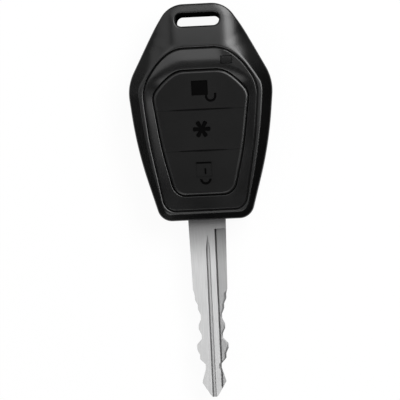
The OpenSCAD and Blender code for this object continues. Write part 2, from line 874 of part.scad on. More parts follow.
module keymat() {
    color("#4a4a4e")
    placed()
    difference() {
        prism(flat_ring(button_line, mat_margin), board_top_z, mat_top_z);
        prism(flat_ring(button_line, mat_margin - mat_foot_w), board_top_z - over, mat_bottom_z);
        lamp_block(free_gap, 0, case_t);
    }
}

module circuit_board() {
    color("#1d6b3a")
    placed()
    difference() {
        intersection() {
            prism(flat_ring(head_line, -board_inset), board_bottom_z, board_top_z);
            block([-head_wide_w, board_foot_y, 0], [head_wide_w, board_top_y, case_t]);
        }
        for (side = [-1, 1]) {
            post([side * screw_foot_x, screw_foot_y], screw_post_r + free_gap, 0, case_t);
            for (place = post_places)
                post([side * place.x, place.y], peg_r + fit_gap, 0, case_t);
        }
    }
}

module switch_body(y) {
    half = switch_w / 2;
    color("#2e2e30")
    placed()
    difference() {
        block([-half, y - half, board_top_z], [half, y + half, switch_top_z]);
        post([0, y], stem_d / 2 + fit_gap, board_top_z + fit_gap, switch_top_z + over);
    }
}

module switch_stem(y) {
    color("#c9b27a")
    placed()
        post([0, y], stem_d / 2, stem_low_z, mat_bottom_z);
}

module unlock_switch() {
    switch_body(unlock_y);
}

module star_switch() {
    switch_body(star_y);
}

module lock_switch() {
    switch_body(lock_y);
}

module unlock_stem() {
    switch_stem(unlock_y);
}

module star_stem() {
    switch_stem(star_y);
}

module lock_stem() {
    switch_stem(lock_y);
}

// A part soldered to the circuit board, by its middle, its size and its side of the board.
module soldered(place, size, above) {
    z = above ? board_top_z : board_bottom_z - size.z;
    translate([place.x - size.x / 2, place.y - size.y / 2, z])
        cube(size);
}

module status_light() {
    color("#e9e4d0")
    placed()
        soldered([lamp_x, lamp_y], [lamp_chip.x, lamp_chip.y, lamp_t], true);
}

module microcontroller() {
    color("#2a2a2c")
    placed()
        soldered([large_x, large_y], controller_size, false);
}

module radio_chip() {
    color("#2a2a2c")
    placed()
        soldered([switch_w / 2 + radio_size.x, star_y], radio_size, true);
}

module crystal_can() {
    color("#b9bcc0")
    placed()
        soldered([-switch_w / 2 - crystal_size.x, star_y], crystal_size, true);
}

module antenna_block() {
    color("#5b4636")
    placed()
        soldered([-large_x, large_y], antenna_size, false);
}

module chip_parts() {
    color("#b7a27c")
    placed()
    for (y = [unlock_y - switch_w / 2, lock_y + switch_w / 2])
        for (side = [-1, 1])
            for (k = [0:1])
                soldered([side * (switch_w + chip_pitch * k), y], chip_size, true);
}

// Battery, transponder and blade.

module coin_cell() {
    step_h = 0.5;
    step_w = 1.2;
    color("#c4c6c8")
    placed() {
        post([0, cell_y], cell_d / 2, cell_bottom_z, cell_top_z - step_h);
        post([0, cell_y], cell_d / 2 - step_w, cell_top_z - step_h - root, cell_top_z);
    }
}

module battery_clip() {
    end_x = clip_leg_x + contact_t;
    low_y = cell_y - clip_w / 2;
    high_y = cell_y + clip_w / 2;
    color("#d6d2c4")
    placed() {
        block([-end_x, low_y, clip_bottom_z], [end_x, high_y, cell_bottom_z]);
        block([-end_x, low_y, clip_bottom_z], [-clip_leg_x, high_y, board_bottom_z]);
        block([clip_leg_x, low_y, clip_bottom_z], [end_x, high_y, board_bottom_z]);
    }
}

module battery_contact() {
    color("#cbb98a")
    placed()
        post([0, cell_y], contact_d / 2, cell_top_z, board_bottom_z);
}

module transponder_capsule() {
    straight = capsule_len - capsule_d;
    color("#6a4b3a")
    placed()
        translate([capsule_x, capsule_y, capsule_z]) {
            rotate([90, 0, 0])
                cylinder(r = capsule_r, h = straight, center = true);
            for (end = [-1, 1])
                translate([0, end * straight / 2, 0])
                    sphere(r = capsule_r);
        }
}

function cut_half(code) = blade_cut_w / 2 - code * cut_step;

// Right edge of the blade from the tang to the tip.
function blade_edge() = concat(
    [[tang_w / 2, tang_len], [tang_w / 2, foot_block], [blade_w / 2, foot_block], [blade_w / 2, 0]],
    [[cut_half(0), cut_lead - first_cut]],
    [for (i = [0:len(cut_codes) - 1])
        let (x = cut_half(cut_codes[i]), y = -first_cut - i * cut_pitch)
        each [[x, y + cut_land / 2], [x, y - cut_land / 2]]],
    [[cut_half(tip_code), tip_len - blade_len], [tip_w / 2, tip_w / 4 - blade_len], [tip_w / 4, -blade_len]]
);

// The grooves of one face of the blade, whose middle lies at height 0.
module face_grooves() {
    floor_z = blade_t / 2 - groove_depth;
    end_y = -blade_len - over;
    block([-groove_w / 2, end_y, floor_z], [groove_w / 2, -groove_start, blade_t]);
    block([step_x, end_y, floor_z], [blade_w, -step_start, blade_t]);
    block([step_x, end_y, floor_z - relief_depth], [step_x + relief_w, -step_start, blade_t]);
}

module key_blade() {
    right = blade_edge();
    left = [for (i = [len(right) - 1:-1:0]) [-right[i].x, right[i].y]];
    color("#b9babc")
    placed()
    translate([0, 0, split_z])
    difference() {
        prism(concat(right, left), -blade_t / 2, blade_t / 2);
        for (turn = [0, 180])
            rotate([0, turn, 0])
                face_grooves();
        post([0, pin_y], pin_d / 2 + fit_gap, -blade_t, blade_t);
    }
}

// Rolled spring pin, open along one side.
module blade_pin() {
    opening = 0.3;
    color("#9a9c9f")
    placed()
    difference() {
        post([0, pin_y], pin_d / 2, pin_low_z, pin_high_z);
        post([0, pin_y], pin_d / 2 - pin_wall, pin_low_z - over, pin_high_z + over);
        block([0, pin_y - opening / 2, 0], [pin_d, pin_y + opening / 2, case_t]);
    }
}

front_shell();
rear_shell();
bezel_frame();
light_window();
seam_gasket();
case_screws();
unlock_button();
star_button();
lock_button();
keymat();
circuit_board();
unlock_switch();
star_switch();
lock_switch();
unlock_stem();
star_stem();
lock_stem();
status_light();
microcontroller();
radio_chip();
crystal_can();
antenna_block();
chip_parts();
coin_cell();
battery_clip();
battery_contact();
transponder_capsule();
key_blade();
blade_pin();
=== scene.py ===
# %% [markdown]
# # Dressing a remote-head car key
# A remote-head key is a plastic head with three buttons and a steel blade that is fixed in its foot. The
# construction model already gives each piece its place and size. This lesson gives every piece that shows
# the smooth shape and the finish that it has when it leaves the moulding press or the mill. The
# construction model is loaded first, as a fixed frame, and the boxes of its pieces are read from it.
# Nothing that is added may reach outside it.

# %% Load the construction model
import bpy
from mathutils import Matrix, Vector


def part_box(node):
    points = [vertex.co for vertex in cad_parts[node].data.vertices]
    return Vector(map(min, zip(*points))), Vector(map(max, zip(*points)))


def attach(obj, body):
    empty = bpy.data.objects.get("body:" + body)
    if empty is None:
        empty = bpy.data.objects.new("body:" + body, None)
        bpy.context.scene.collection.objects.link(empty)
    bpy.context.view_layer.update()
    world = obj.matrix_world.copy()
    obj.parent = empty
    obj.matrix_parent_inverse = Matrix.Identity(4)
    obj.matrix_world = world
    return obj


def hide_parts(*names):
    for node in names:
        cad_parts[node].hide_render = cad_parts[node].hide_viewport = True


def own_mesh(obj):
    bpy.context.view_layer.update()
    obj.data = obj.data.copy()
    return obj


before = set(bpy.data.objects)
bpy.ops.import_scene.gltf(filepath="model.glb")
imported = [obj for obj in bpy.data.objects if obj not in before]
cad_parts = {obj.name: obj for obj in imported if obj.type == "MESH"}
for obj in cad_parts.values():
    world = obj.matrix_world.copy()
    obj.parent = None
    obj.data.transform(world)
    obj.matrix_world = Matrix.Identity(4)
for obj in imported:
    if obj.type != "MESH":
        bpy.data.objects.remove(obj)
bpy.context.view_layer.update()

# %% [markdown]
# Blender works in metres, but a key is easier to read in millimetres. So shapes are written in millimetres
# in the head's own frame, where y starts at the foot of the head, at the blade. One helper brings such a
# point to Blender's frame. Heights are read from the boxes of the model's pieces, so they can't drift away
# from it.

# %% Millimetres, and heights from the model
import math

import bmesh
import bpy
from mathutils import Euler, Vector

MM = 0.001


def reach(node, axis):
    """Lowest and highest place of a piece along one axis, in millimetres."""
    low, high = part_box(node)
    return low[axis] / MM, high[axis] / MM


FOOT_Y, RING_END_Y = reach("front_shell", 1)
HEAD_LEN = RING_END_Y - FOOT_Y
SEAM_Z, FACE_Z = reach("front_shell", 2)
FRAME_Z, CROWN_Z = reach("bezel_frame", 2)
BUTTON_Z = reach("star_button", 2)[1]
BLADE_LOW, BLADE_HIGH = reach("key_blade", 2)


def at(x, y, z):
    """A point of the head's frame, in millimetres, as a point of Blender's frame, in metres."""
    return Vector((x, y + FOOT_Y, z)) * MM


print(f"head {HEAD_LEN:.1f} mm long, seam at {SEAM_Z:.1f}, face at {FACE_Z:.1f}, crown at {CROWN_Z:.2f}")

# %% [markdown]
# The photograph looks down on the buttons from about half a metre, a hair from the right, since the right
# skirt looks wider than the left one. The key leans a little to the left in it. The lean and the view from
# the right are turns of the camera, because the key itself stays where the construction model has it. A
# long lens at that distance keeps the sides of the head nearly parallel.

# %% Camera
VIEW_DISTANCE = 500
PICTURE_WIDTH = 99.55
PICTURE_MIDDLE = (-1.33, 5)
LEAN = math.radians(2.65)
FROM_RIGHT = math.radians(2)

scene = bpy.context.scene


def new_object(name, data):
    """A new object in the scene, for a camera, a light or a mesh."""
    made = bpy.data.objects.new(name, data)
    scene.collection.objects.link(made)
    return made


camera = new_object("camera", bpy.data.cameras.new("camera"))
camera.data.sensor_width = 36
camera.data.lens = camera.data.sensor_width * VIEW_DISTANCE / PICTURE_WIDTH
aim = Euler((0, FROM_RIGHT, -LEAN), "ZXY").to_matrix()
camera.location = at(*PICTURE_MIDDLE, FACE_Z) + aim @ Vector((0, 0, VIEW_DISTANCE * MM))
camera.rotation_euler = aim.to_euler()
scene.camera = camera
print(f"camera {VIEW_DISTANCE} mm from the face, lens {camera.data.lens:.0f} mm")

# %% [markdown]
# Black plastic shows mostly what it reflects, so the light is planned like a product shot. A large soft
# panel to the upper right draws the broad highlight on the flank and the line along the ridge. A weak one
# on the left lifts the left skirt out of the black, and one at the lower left lights the edges at the foot.
# Two overhead, towards the tip and the ring end, are what the blade and the flat face mirror. The sky is
# dim and darkens towards the horizon, so that the skirts stay dark. It is a small tree of nodes, made with
# a helper that all the finishes use too.

# %% Lights and sky
scene.view_settings.view_transform = "Standard"
SKY_LOW, SKY_HIGH = 0.015, 0.1
SKY_TINT = (0.97, 0.98, 1, 1)


def soft_panel(name, place, target, size, watts):
    """A square or oblong panel light that faces a point; place and target are in metres."""
    data = bpy.data.lights.new(name, "AREA")
    data.shape = "RECTANGLE"
    data.size, data.size_y = size
    data.energy = watts
    panel = new_object(name, data)
    panel.location = place
    panel.rotation_euler = (Vector(target) - Vector(place)).to_track_quat("-Z", "Y").to_euler()


def add_node(owner, kind, sockets=None, **settings):
    """A node in a tree, or beside another node. A socket takes a value, or a link from an output."""
    tree = owner.id_data
    node = tree.nodes.new(kind)
    for name, setting in settings.items():
        setattr(node, name, setting)
    for socket, source in (sockets or {}).items():
        if isinstance(source, bpy.types.NodeSocket):
            tree.links.new(source, node.inputs[socket])
        else:
            node.inputs[socket].default_value = source
    return node


soft_panel("right_panel", (0.302, 0.25, 0.51), (0, 0.01, 0), (0.5, 0.3), 3.8)
soft_panel("left_panel", (-0.435, 0.25, 0.42), (0, 0.01, 0), (0.55, 0.5), 0.8)
soft_panel("foot_panel", (-0.235, -0.46, 0.42), (0, -0.01, 0), (0.36, 0.22), 0.9)
soft_panel("tip_panel", (-0.033, -0.4, 0.95), (0, -0.03, 0), (0.6, 0.44), 1.5)
soft_panel("ring_panel", (0.067, 0.32, 0.93), (0, 0.03, 0), (0.7, 0.4), 1.6)

world = bpy.data.worlds.new("studio_sky")
scene.world = world
world.use_nodes = True
sky = world.node_tree
sky.nodes.clear()
sky_place = add_node(sky, "ShaderNodeTexCoord").outputs["Generated"]
sky_height = add_node(sky, "ShaderNodeSeparateXYZ", {0: sky_place}).outputs["Z"]
sky_level = add_node(sky, "ShaderNodeMapRange", {"Value": sky_height, "To Min": SKY_LOW, "To Max": SKY_HIGH})
sky_light = add_node(sky, "ShaderNodeBackground", {"Color": SKY_TINT, "Strength": sky_level.outputs[0]})
add_node(sky, "ShaderNodeOutputWorld", {0: sky_light.outputs[0]})
print("five panels and a dim sky")

# %% [markdown]
# The key lies on white card. A camera, or a shiny surface that mirrors the card, sees it as plain white
# with a little of the real shading left in, so the key's soft shadow stays. For all other rays it is
# ordinary card.

# %% White card
CARD_SIZE = 4
CARD_GREY = (0.86, 0.86, 0.86, 1)
SHADING_LEFT = 0.06
SQUARE = ((-1, -1), (1, -1), (1, 1), (-1, 1))

card_mesh = bpy.data.meshes.new("card")
card_mesh.from_pydata([(x * CARD_SIZE / 2, y * CARD_SIZE / 2, 0) for x, y in SQUARE], [], [(0, 1, 2, 3)])
card = new_object("card", card_mesh)

card_paint = bpy.data.materials.new("white_card")
card_paint.use_nodes = True
tree = card_paint.node_tree
tree.nodes.clear()
paper = add_node(tree, "ShaderNodeBsdfDiffuse", {"Color": CARD_GREY})
white = add_node(tree, "ShaderNodeEmission")
rays = add_node(tree, "ShaderNodeLightPath").outputs
seen = rays["Is Camera Ray"]
for kind in ("Is Glossy Ray", "Is Transmission Ray"):
    seen = add_node(tree, "ShaderNodeMath", {0: seen, 1: rays[kind]}, operation="MAXIMUM").outputs[0]
share = add_node(tree, "ShaderNodeMath", {0: seen, 1: 1 - SHADING_LEFT}, operation="MULTIPLY").outputs[0]
blend = add_node(tree, "ShaderNodeMixShader", {0: share, 1: paper.outputs[0], 2: white.outputs[0]})
add_node(tree, "ShaderNodeOutputMaterial", {0: blend.outputs[0]})
card_mesh.materials.append(card_paint)
print("card", CARD_SIZE, "m wide")

# %% [markdown]
# A finish is more than a colour. Each one below starts from the same kit: a shader, fine grain from a noise
# texture on Object coordinates, a ramp that turns the noise into two shades, a range that turns it into
# roughness, and a bump that turns it into relief. Object coordinates are real metres on the piece, so a
# grain of a tenth of a millimetre is written as that size.

# %% Kit for finishes
SHADE_STOPS = (0.3, 0.7)


def shader_of(material):
    return material.node_tree.nodes["Principled BSDF"]


def new_finish(name, **constants):
    """A material and its shader, with constants set on the shader's own sockets."""
    material = bpy.data.materials.new(name)
    material.use_nodes = True
    shader = shader_of(material)
    for socket, value in constants.items():
        shader.inputs[socket.replace("_", " ")].default_value = value
    return material, shader


def feed(shader, socket, source):
    """Links another node's output to a socket of the shader."""
    shader.id_data.links.new(source, shader.inputs[socket])


def place_on_piece(shader, stretch=(1, 1, 1)):
    """Object coordinates, stretched by three factors."""
    place = add_node(shader, "ShaderNodeTexCoord").outputs["Object"]
    return add_node(shader, "ShaderNodeMapping", {"Vector": place, "Scale": stretch}).outputs[0]


def grain(shader, size, stretch=(1, 1, 1), detail=3):
    """Noise from 0 to 1 whose spots are about size millimetres wide."""
    sockets = {"Vector": place_on_piece(shader, stretch), "Scale": 1 / (size * MM), "Detail": detail}
    return add_node(shader, "ShaderNodeTexNoise", sockets).outputs[0]


def shades(shader, value, dark, light):
    """Links a value to the shader's colour, from a dark shade to a light one."""
    ramp = add_node(shader, "ShaderNodeValToRGB", {0: value})
    for stop, place, shade in zip(ramp.color_ramp.elements, SHADE_STOPS, (dark, light)):
        stop.position = place
        stop.color = (*shade, 1)
    feed(shader, "Base Color", ramp.outputs[0])


def roughness(shader, value, low, high):
    """Links a value to the shader's roughness, from low to high."""
    spread = add_node(shader, "ShaderNodeMapRange", {"Value": value, "To Min": low, "To Max": high})
    feed(shader, "Roughness", spread.outputs[0])


def relief(shader, value, depth):
    """Links a value to the shader's relief, with a depth in millimetres."""
    bump = add_node(shader, "ShaderNodeBump", {"Height": value, "Distance": depth * MM})
    feed(shader, "Normal", bump.outputs[0])


def grey(level):
    return (level, level, level)


print("finish kit ready")

# %% [markdown]
# The shells are black plastic from an etched mould: satin, with a very fine texture. The skirt of the front
# is rubbed smoother by the hand, most on the right. A mark stored on its mesh says how much. The buttons
# are soft rubber, duller and finer, and polished along their edges by use. The frame round them is smoked
# plastic, polished in the mould. The window of the status light is the same resin, darker and smoother. The
# symbols on the buttons are filled with black ink. On the shut padlock the black top stroke is a painted
# shadow under the top edge of its body, and the faint grey outline of the body is painted shade. The wall
# of the slot is matt, as its core pin leaves it. Pictures could be laid over the pieces instead, but noise
# has no seams and stays fine at any distance.

# %% Finishes of the head
CLOUD_SIZE = 9


def moulded(name, dark, light, rough, grain_size, depth, **constants):
    """A moulded finish: two shades, a range of roughness, and a grain with its depth in millimetres."""
    material, shader = new_finish(name, **constants)
    cloud = grain(shader, CLOUD_SIZE)
    shades(shader, cloud, dark, light)
    roughness(shader, cloud, *rough)
    relief(shader, grain(shader, grain_size), depth)
    return material


def rubbed_where(material, mark, rough):
    """Gives a finish another roughness where a mark stored on the mesh is 1."""
    shader = shader_of(material)
    usual = shader.inputs["Roughness"].links[0].from_socket
    stored = add_node(shader, "ShaderNodeAttribute", attribute_name=mark).outputs["Fac"]
    mix = add_node(shader, "ShaderNodeMix", {"Factor": stored, "A": usual, "B": rough})
    feed(shader, "Roughness", mix.outputs["Result"])


SHELL = moulded("satin_shell", grey(0.001), grey(0.003), (0.25, 0.31), 0.16, 0.004)
rubbed_where(SHELL, "skirt", 0.17)
SLOT_WALL = moulded("slot_wall", grey(0.004), grey(0.007), (0.7, 0.8), 0.16, 0.01, Specular_IOR_Level=0)
RUBBER = moulded("button_rubber", grey(0.004), grey(0.006), (0.46, 0.56), 0.1, 0.004, Specular_IOR_Level=0.1)
RUBBED = moulded("rubbed_edge", grey(0.005), grey(0.008), (0.24, 0.32), 0.1, 0.002, Specular_IOR_Level=0.4)
SMOKE = moulded("smoked_frame", grey(0.002), grey(0.005), (0.16, 0.22), 0.5, 0.002)
WINDOW = moulded("window_resin", grey(0.002), grey(0.004), (0.1, 0.2), 0.35, 0.004, Specular_IOR_Level=0.4)
# A grey a little darker than the rubber: painted shade on the faint outline of the shut padlock's body.
FAINT_PAINTED_SHADE = moulded("faint_painted_shade", grey(0.002), grey(0.004), (0.5, 0.6), 0.12, 0.004, Specular_IOR_Level=0.1)
# Ink of the symbols; on the shut padlock's top stroke the same black is a painted shadow.
INK_AND_PAINTED_SHADOW = moulded("symbol_ink_and_painted_shadow", grey(0.0008), grey(0.0016), (0.6, 0.7), 0.12, 0.004, Specular_IOR_Level=0.02)
print("head:", [m.name for m in (SHELL, SLOT_WALL, RUBBER, RUBBED, SMOKE, WINDOW, INK_AND_PAINTED_SHADOW, FAINT_PAINTED_SHADE)])

# %% [markdown]
# The blade is milled from nickel silver. A mill leaves fine lines along the blade, so its grain is
# stretched in that direction, and the same lines break up the gloss. The recesses of the faces get a
# darker colour, which is painted shade, and the colour of the blade darkens towards the root at the head,
# which is a painted shadow of the head. The screws are zinc plated and show no direction.

# %% Finishes of the metal
ALONG, EVEN = (1, 0.02, 1), (1, 1, 1)
# Painted shadow of the head: the blade's colour is darkest at the root and back to full 14 mm down the
# blade.
ROOT_SHADOW_DARKEST_Y, ROOT_SHADOW_GONE_Y = FOOT_Y + 2, FOOT_Y - 14
ROOT_SHADOW_LEVEL = 0.3


def drawn_metal(name, dark, light, rough, line_size, stretch, depth):
    """A metal with fine lines: two shades, a range of roughness, and the lines' depth in millimetres."""
    material, shader = new_finish(name, Metallic=1)
    lines = grain(shader, line_size, stretch, detail=4)
    shades(shader, lines, dark, light)
    roughness(shader, lines, *rough)
    relief(shader, lines, depth)
    return material


def paint_root_shadow(material):
    """Darkens a finish towards the root of the blade: a painted shadow of the head."""
    shader = shader_of(material)
    colour = shader.inputs["Base Color"].links[0].from_socket
    place = add_node(shader, "ShaderNodeSeparateXYZ", {0: place_on_piece(shader)}).outputs["Y"]
    sockets = {"Value": place, "From Min": ROOT_SHADOW_DARKEST_Y * MM, "From Max": ROOT_SHADOW_GONE_Y * MM, "To Min": ROOT_SHADOW_LEVEL}
    fade = add_node(shader, "ShaderNodeMapRange", sockets, interpolation_type="SMOOTHERSTEP")
    sockets = {"Factor": 1, "A": colour, "B": fade.outputs["Result"]}
    tone = add_node(shader, "ShaderNodeMix", sockets, data_type="RGBA", blend_type="MULTIPLY")
    feed(shader, "Base Color", tone.outputs["Result"])


BLADE = drawn_metal("milled_blade", grey(0.51), grey(0.61), (0.42, 0.54), 0.12, ALONG, 0.003)
# The recesses get a darker colour than the faces: painted shade.
RECESS_PAINTED_SHADE = drawn_metal("blade_recess_painted_shade", grey(0.39), grey(0.47), (0.42, 0.54), 0.12, ALONG, 0.004)
# Both blade finishes get the painted shadow of the head at the root.
for finish in (BLADE, RECESS_PAINTED_SHADE):
    paint_root_shadow(finish)
ZINC = drawn_metal("zinc_plate", grey(0.4), grey(0.5), (0.26, 0.42), 0.3, EVEN, 0.004)
print("metal:", BLADE.name, RECESS_PAINTED_SHADE.name, ZINC.name)

# %% [markdown]
# Every outline of the head is a figure with rounded corners, the same on the left and the right. It could
# be drawn as a curve, but here a list of corners with radii is enough: each corner becomes an arc, and each
# straight edge gets a few points. Every point keeps the direction that faces outwards, so a ring can be
# grown or shrunk like the offset of a drawing. Outlines with equally many corners have equally many points,
# so any two of them can be joined by a strip of faces.

# %% Outlines
ARC_STEPS = 12
EDGE_STEPS = 6
HEAD_CORNERS = [(11.2, 0, 3.7), (16.5, 18.2, 100), (18.3, 34.3, 12), (11.3, 47.7, 45), (6.95, 54, 6.7)]
FRAME_CORNERS = [(10, 2.3, 3.3), (13.2, 19.8, 60), (14.6, 33.5, 10), (10.7, 39.3, 14), (6.45, 43, 8)]
BUTTON_CORNERS = [(7.35, 6.1, 3.5), (10.2, 17.7, 80), (12.15, 31.5, 4), (9.2, 34.9, 18), (5.9, 37.4, 6)]
SLOT_CORNERS = [(5.45, 48.4, 1.5), (5.45, 51.55, 1.5)]


def corner_arc(before, corner, after, radius):
    """Points of a rounded corner, each with the direction that faces outwards."""
    back = (before - corner).normalized()
    ahead = (after - corner).normalized()
    half = back.angle(ahead) / 2
    centre = corner + (back + ahead).normalized() * radius / math.sin(half)
    first = corner + back * radius / math.tan(half) - centre
    start = math.atan2(first.y, first.x)
    sweep = math.pi - 2 * half
    angles = [start + sweep * step / ARC_STEPS for step in range(ARC_STEPS + 1)]
    directions = [Vector((math.cos(angle), math.sin(angle))) for angle in angles]
    return [(centre + direction * radius, direction) for direction in directions]


def outline(half_corners):
    """A closed outline from the corners of its right half: points with their outward directions."""
    left = [(-x, y, radius) for x, y, radius in reversed(half_corners)]
    corners = [(Vector((x, y)), radius) for x, y, radius in half_corners + left]
    count = len(corners)
    arcs = [
        corner_arc(corners[i - 1][0], corners[i][0], corners[(i + 1) % count][0], corners[i][1])
        for i in range(count)
    ]
    line = []
    for i, arc in enumerate(arcs):
        line += arc
        end, direction = arc[-1]
        begin = arcs[(i + 1) % count][0][0]
        line += [(end.lerp(begin, step / EDGE_STEPS), direction) for step in range(1, EDGE_STEPS)]
    return line


HEAD_LINE = outline(HEAD_CORNERS)
FRAME_LINE = outline(FRAME_CORNERS)
BUTTON_LINE = outline(BUTTON_CORNERS)
SLOT_LINE = outline(SLOT_CORNERS)


def grown(line, grow):
    """The points of an outline, moved outwards by some millimetres."""
    return [point + direction * grow for point, direction in line]


def ring(line, grow, z):
    """A grown outline at a height."""
    return [at(*point, z) for point in grown(line, grow)]


def stack(line, section):
    """Rings of one outline along a section, which lists how far each is grown and its height."""
    return [ring(line, grow, z) for grow, z in section]


print("points round the head:", len(HEAD_LINE))

# %% [markdown]
# A moulded form is a stack of such rings with a skin of four-sided faces between them. The stack either
# ends in two caps, or closes on itself like a picture frame. It could be a coarse cage under a Subdivision
# Surface, but rings keep exactly to the drawing. Sharp turns in a section are softened by cutting their
# corners, once or twice, which gives the rounded edges that a mould leaves.

# %% Skins over rings
CORNER_CUTS = (0.25, 0.75)


def skin(name, rings, closed=False):
    """A closed mesh over a stack of rings, with caps at its ends or closed on itself."""
    shape = bmesh.new()
    loops = [[shape.verts.new(point) for point in points] for points in rings]
    pairs = list(zip(loops, loops[1:]))
    if closed:
        pairs.append((loops[-1], loops[0]))
    for low, high in pairs:
        for j in range(len(low)):
            shape.faces.new((low[j - 1], low[j], high[j], high[j - 1]))
    if not closed:
        shape.faces.new(loops[0])
        shape.faces.new(loops[-1])
    bmesh.ops.recalc_face_normals(shape, faces=shape.faces)
    mesh = bpy.data.meshes.new(name)
    shape.to_mesh(mesh)
    shape.free()
    return new_object(name, mesh)


def soften(points, rounds=2):
    """A section whose corners are cut, with its two ends kept."""
    for _ in range(rounds):
        cut = [points[0]]
        for a, b in zip(points, points[1:]):
            cut += [tuple(p + (q - p) * share for p, q in zip(a, b)) for share in CORNER_CUTS]
        points = cut + [points[-1]]
    return points


print("softened step:", len(soften([(0, 0), (1, 0), (1, 1)])), "points")

# %% [markdown]
# Holes and joints between solids are boolean modifiers: a cutter is subtracted from a piece, or a post is
# added to it. The result is turned into a plain mesh straight away, so a finished piece carries no live
# modifiers. At the end, each piece is shaded smooth, apart from edges that turn by more than a set angle,
# and its normals follow the larger faces, which keeps flat faces flat up to their rounded edges.

# %% Cuts and finishing
SHARP = math.radians(35)
MERGE = 0.001
ALIKE = 0.003
POST_SIDES = 40


def apply_modifiers(piece):
    """Turns the result of a piece's modifiers into its plain mesh."""
    evaluated = piece.evaluated_get(bpy.context.evaluated_depsgraph_get())
    before = piece.data
    piece.data = bpy.data.meshes.new_from_object(evaluated)
    piece.modifiers.clear()
    bpy.data.meshes.remove(before)


def combine(piece, operation, *others):
    """Cuts other pieces from a piece, adds them to it or keeps what they share, and removes them."""
    for other in others:
        step = piece.modifiers.new("combine", "BOOLEAN")
        step.operation = operation
        step.solver = "EXACT"
        step.object = other
        apply_modifiers(piece)
        leftover = other.data
        bpy.data.objects.remove(other)
        bpy.data.meshes.remove(leftover)
    return piece


def block(low, high):
    """A box between two corners of the head's frame, for cutting."""
    corners = [(low[0], low[1]), (high[0], low[1]), (high[0], high[1]), (low[0], high[1])]
    return skin("block", [[at(x, y, z) for x, y in corners] for z in (low[2], high[2])])


def circle(radius):
    turns = [2 * math.pi * k / POST_SIDES for k in range(POST_SIDES)]
    return [(radius * math.cos(turn), radius * math.sin(turn)) for turn in turns]


def post(x, y, radius, low, high):
    """A round post or drill in the head's frame."""
    return skin("post", [[at(x + a, y + b, z) for a, b in circle(radius)] for z in (low, high)])


def close_up(piece):
    """Merges doubled points, fills the pinholes that a cut can leave and removes edges without faces."""
    shape = bmesh.new()
    shape.from_mesh(piece.data)
    bmesh.ops.remove_doubles(shape, verts=shape.verts, dist=MERGE * MM)
    bmesh.ops.holes_fill(shape, edges=[edge for edge in shape.edges if edge.is_boundary])
    bmesh.ops.delete(shape, geom=[edge for edge in shape.edges if edge.is_wire], context="EDGES")
    bmesh.ops.recalc_face_normals(shape, faces=shape.faces)
    shape.to_mesh(piece.data)
    shape.free()


def dress(piece, body, node, slot, *finishes):
    """Shades a finished piece, gives it its finishes and puts it in the place of a construction piece."""
    piece.data.materials.clear()
    for finish in finishes:
        piece.data.materials.append(finish)
    piece.data.shade_smooth()
    piece.data.set_sharp_from_angle(angle=SHARP)
    even = piece.modifiers.new("even_shading", "WEIGHTED_NORMAL")
    even.keep_sharp = True
    even.thresh = ALIKE
    apply_modifiers(piece)
    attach(piece, body)
    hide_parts(node)
    print(f"{piece.name}: {len(piece.data.polygons)} faces, rides on {body}")


def paint(piece, finish_number):
    """Gives each face of a dressed piece the finish whose number a function tells."""
    for face in piece.data.polygons:
        face.material_index = finish_number(face)


print("cutters, posts and finishing ready")

# %% [markdown]
# The front shell is one skin: up the wall from the seam, in over the skirt to the flat face, over the
# rounded rim of the opening and down its inside. The skirt falls at one angle everywhere. Along the sides
# it is narrow and meets the face in a crisp ridge. On the upper flanks the ridge follows the edge of the
# opening and then leaves it, so the skirt grows wide there. The ridge gets a larger radius and turns less
# far, and a slow roll leads on to the skirt, which is where the photograph shows the broad highlight.
# Width, radius and turn follow tables along the outline, and the height of any point follows from its
# distance to the outline. So the rings needn't follow the ridge: they run from the outline to the opening,
# closer together at the wall. Towards the ring end the face is a little crowned.

# %% Front shell, heights
import numpy as np

SKIRT_TILT = math.radians(36)
SKIRT_WIDTHS = [(0, 2), (3.7, 1.9), (18.2, 2.65), (34.3, 3.05), (36, 3.45), (38.4, 3.75), (40.7, 4.15),
                (42.2, 4.6), (43.4, 5.1), (44.6, 6), (45.6, 6.8), (46.6, 7.2), (47.6, 6.8), (50.1, 5.1),
                (52.2, 3.2), (54, 1.9)]
RIDGE_RADII = [(0, 0.8), (34.3, 0.9), (36.5, 1), (40.7, 1.4), (43.2, 2.5), (45, 5.8), (47, 9.5), (54, 10)]
RIDGE_TURNS = [(0, 36), (34.3, 36), (38, 34), (40.7, 30), (43.2, 22), (45, 19), (47, 18), (54, 18)]
ROLL_RADIUS = 14
CROWNED_FROM, CROWNING = 40, 0.002
WALL_EDGE = 0.35


def along(table, y):
    """A value along y on a smooth curve through a table of places and values."""
    y = min(table[-1][0], max(table[0][0], y))
    i = max(k for k in range(len(table) - 1) if table[k][0] <= y)
    (low, a), (high, b) = table[i], table[i + 1]
    before, after = table[max(0, i - 1)], table[min(len(table) - 1, i + 2)]
    start = (b - before[1]) / (high - before[0]) * (high - low)
    end = (after[1] - a) / (after[0] - low) * (high - low)
    s = (y - low) / (high - low)
    return a + s * start + s * s * (3 * (b - a) - 2 * start - end) + s ** 3 * (2 * (a - b) + start + end)


def tracer(points):
    """A function that gives the distance of a point to an outline, and the y of the nearest spot on it."""
    spots = np.array(points)
    steps = np.roll(spots, -1, axis=0) - spots
    lengths = (steps ** 2).sum(1)

    def trace(x, y):
        share = np.clip((((x, y) - spots) * steps).sum(1) / lengths, 0, 1)
        nearest = spots + steps * share[:, None]
        distances = np.hypot(x - nearest[:, 0], y - nearest[:, 1])
        i = distances.argmin()
        return float(distances[i]), float(nearest[i, 1])
    return trace


def rounding(distance, radius):
    """How far a rounded edge lies below its face, at a distance from its wall."""
    short = max(0, radius - distance)
    return radius - math.sqrt(radius ** 2 - short ** 2)


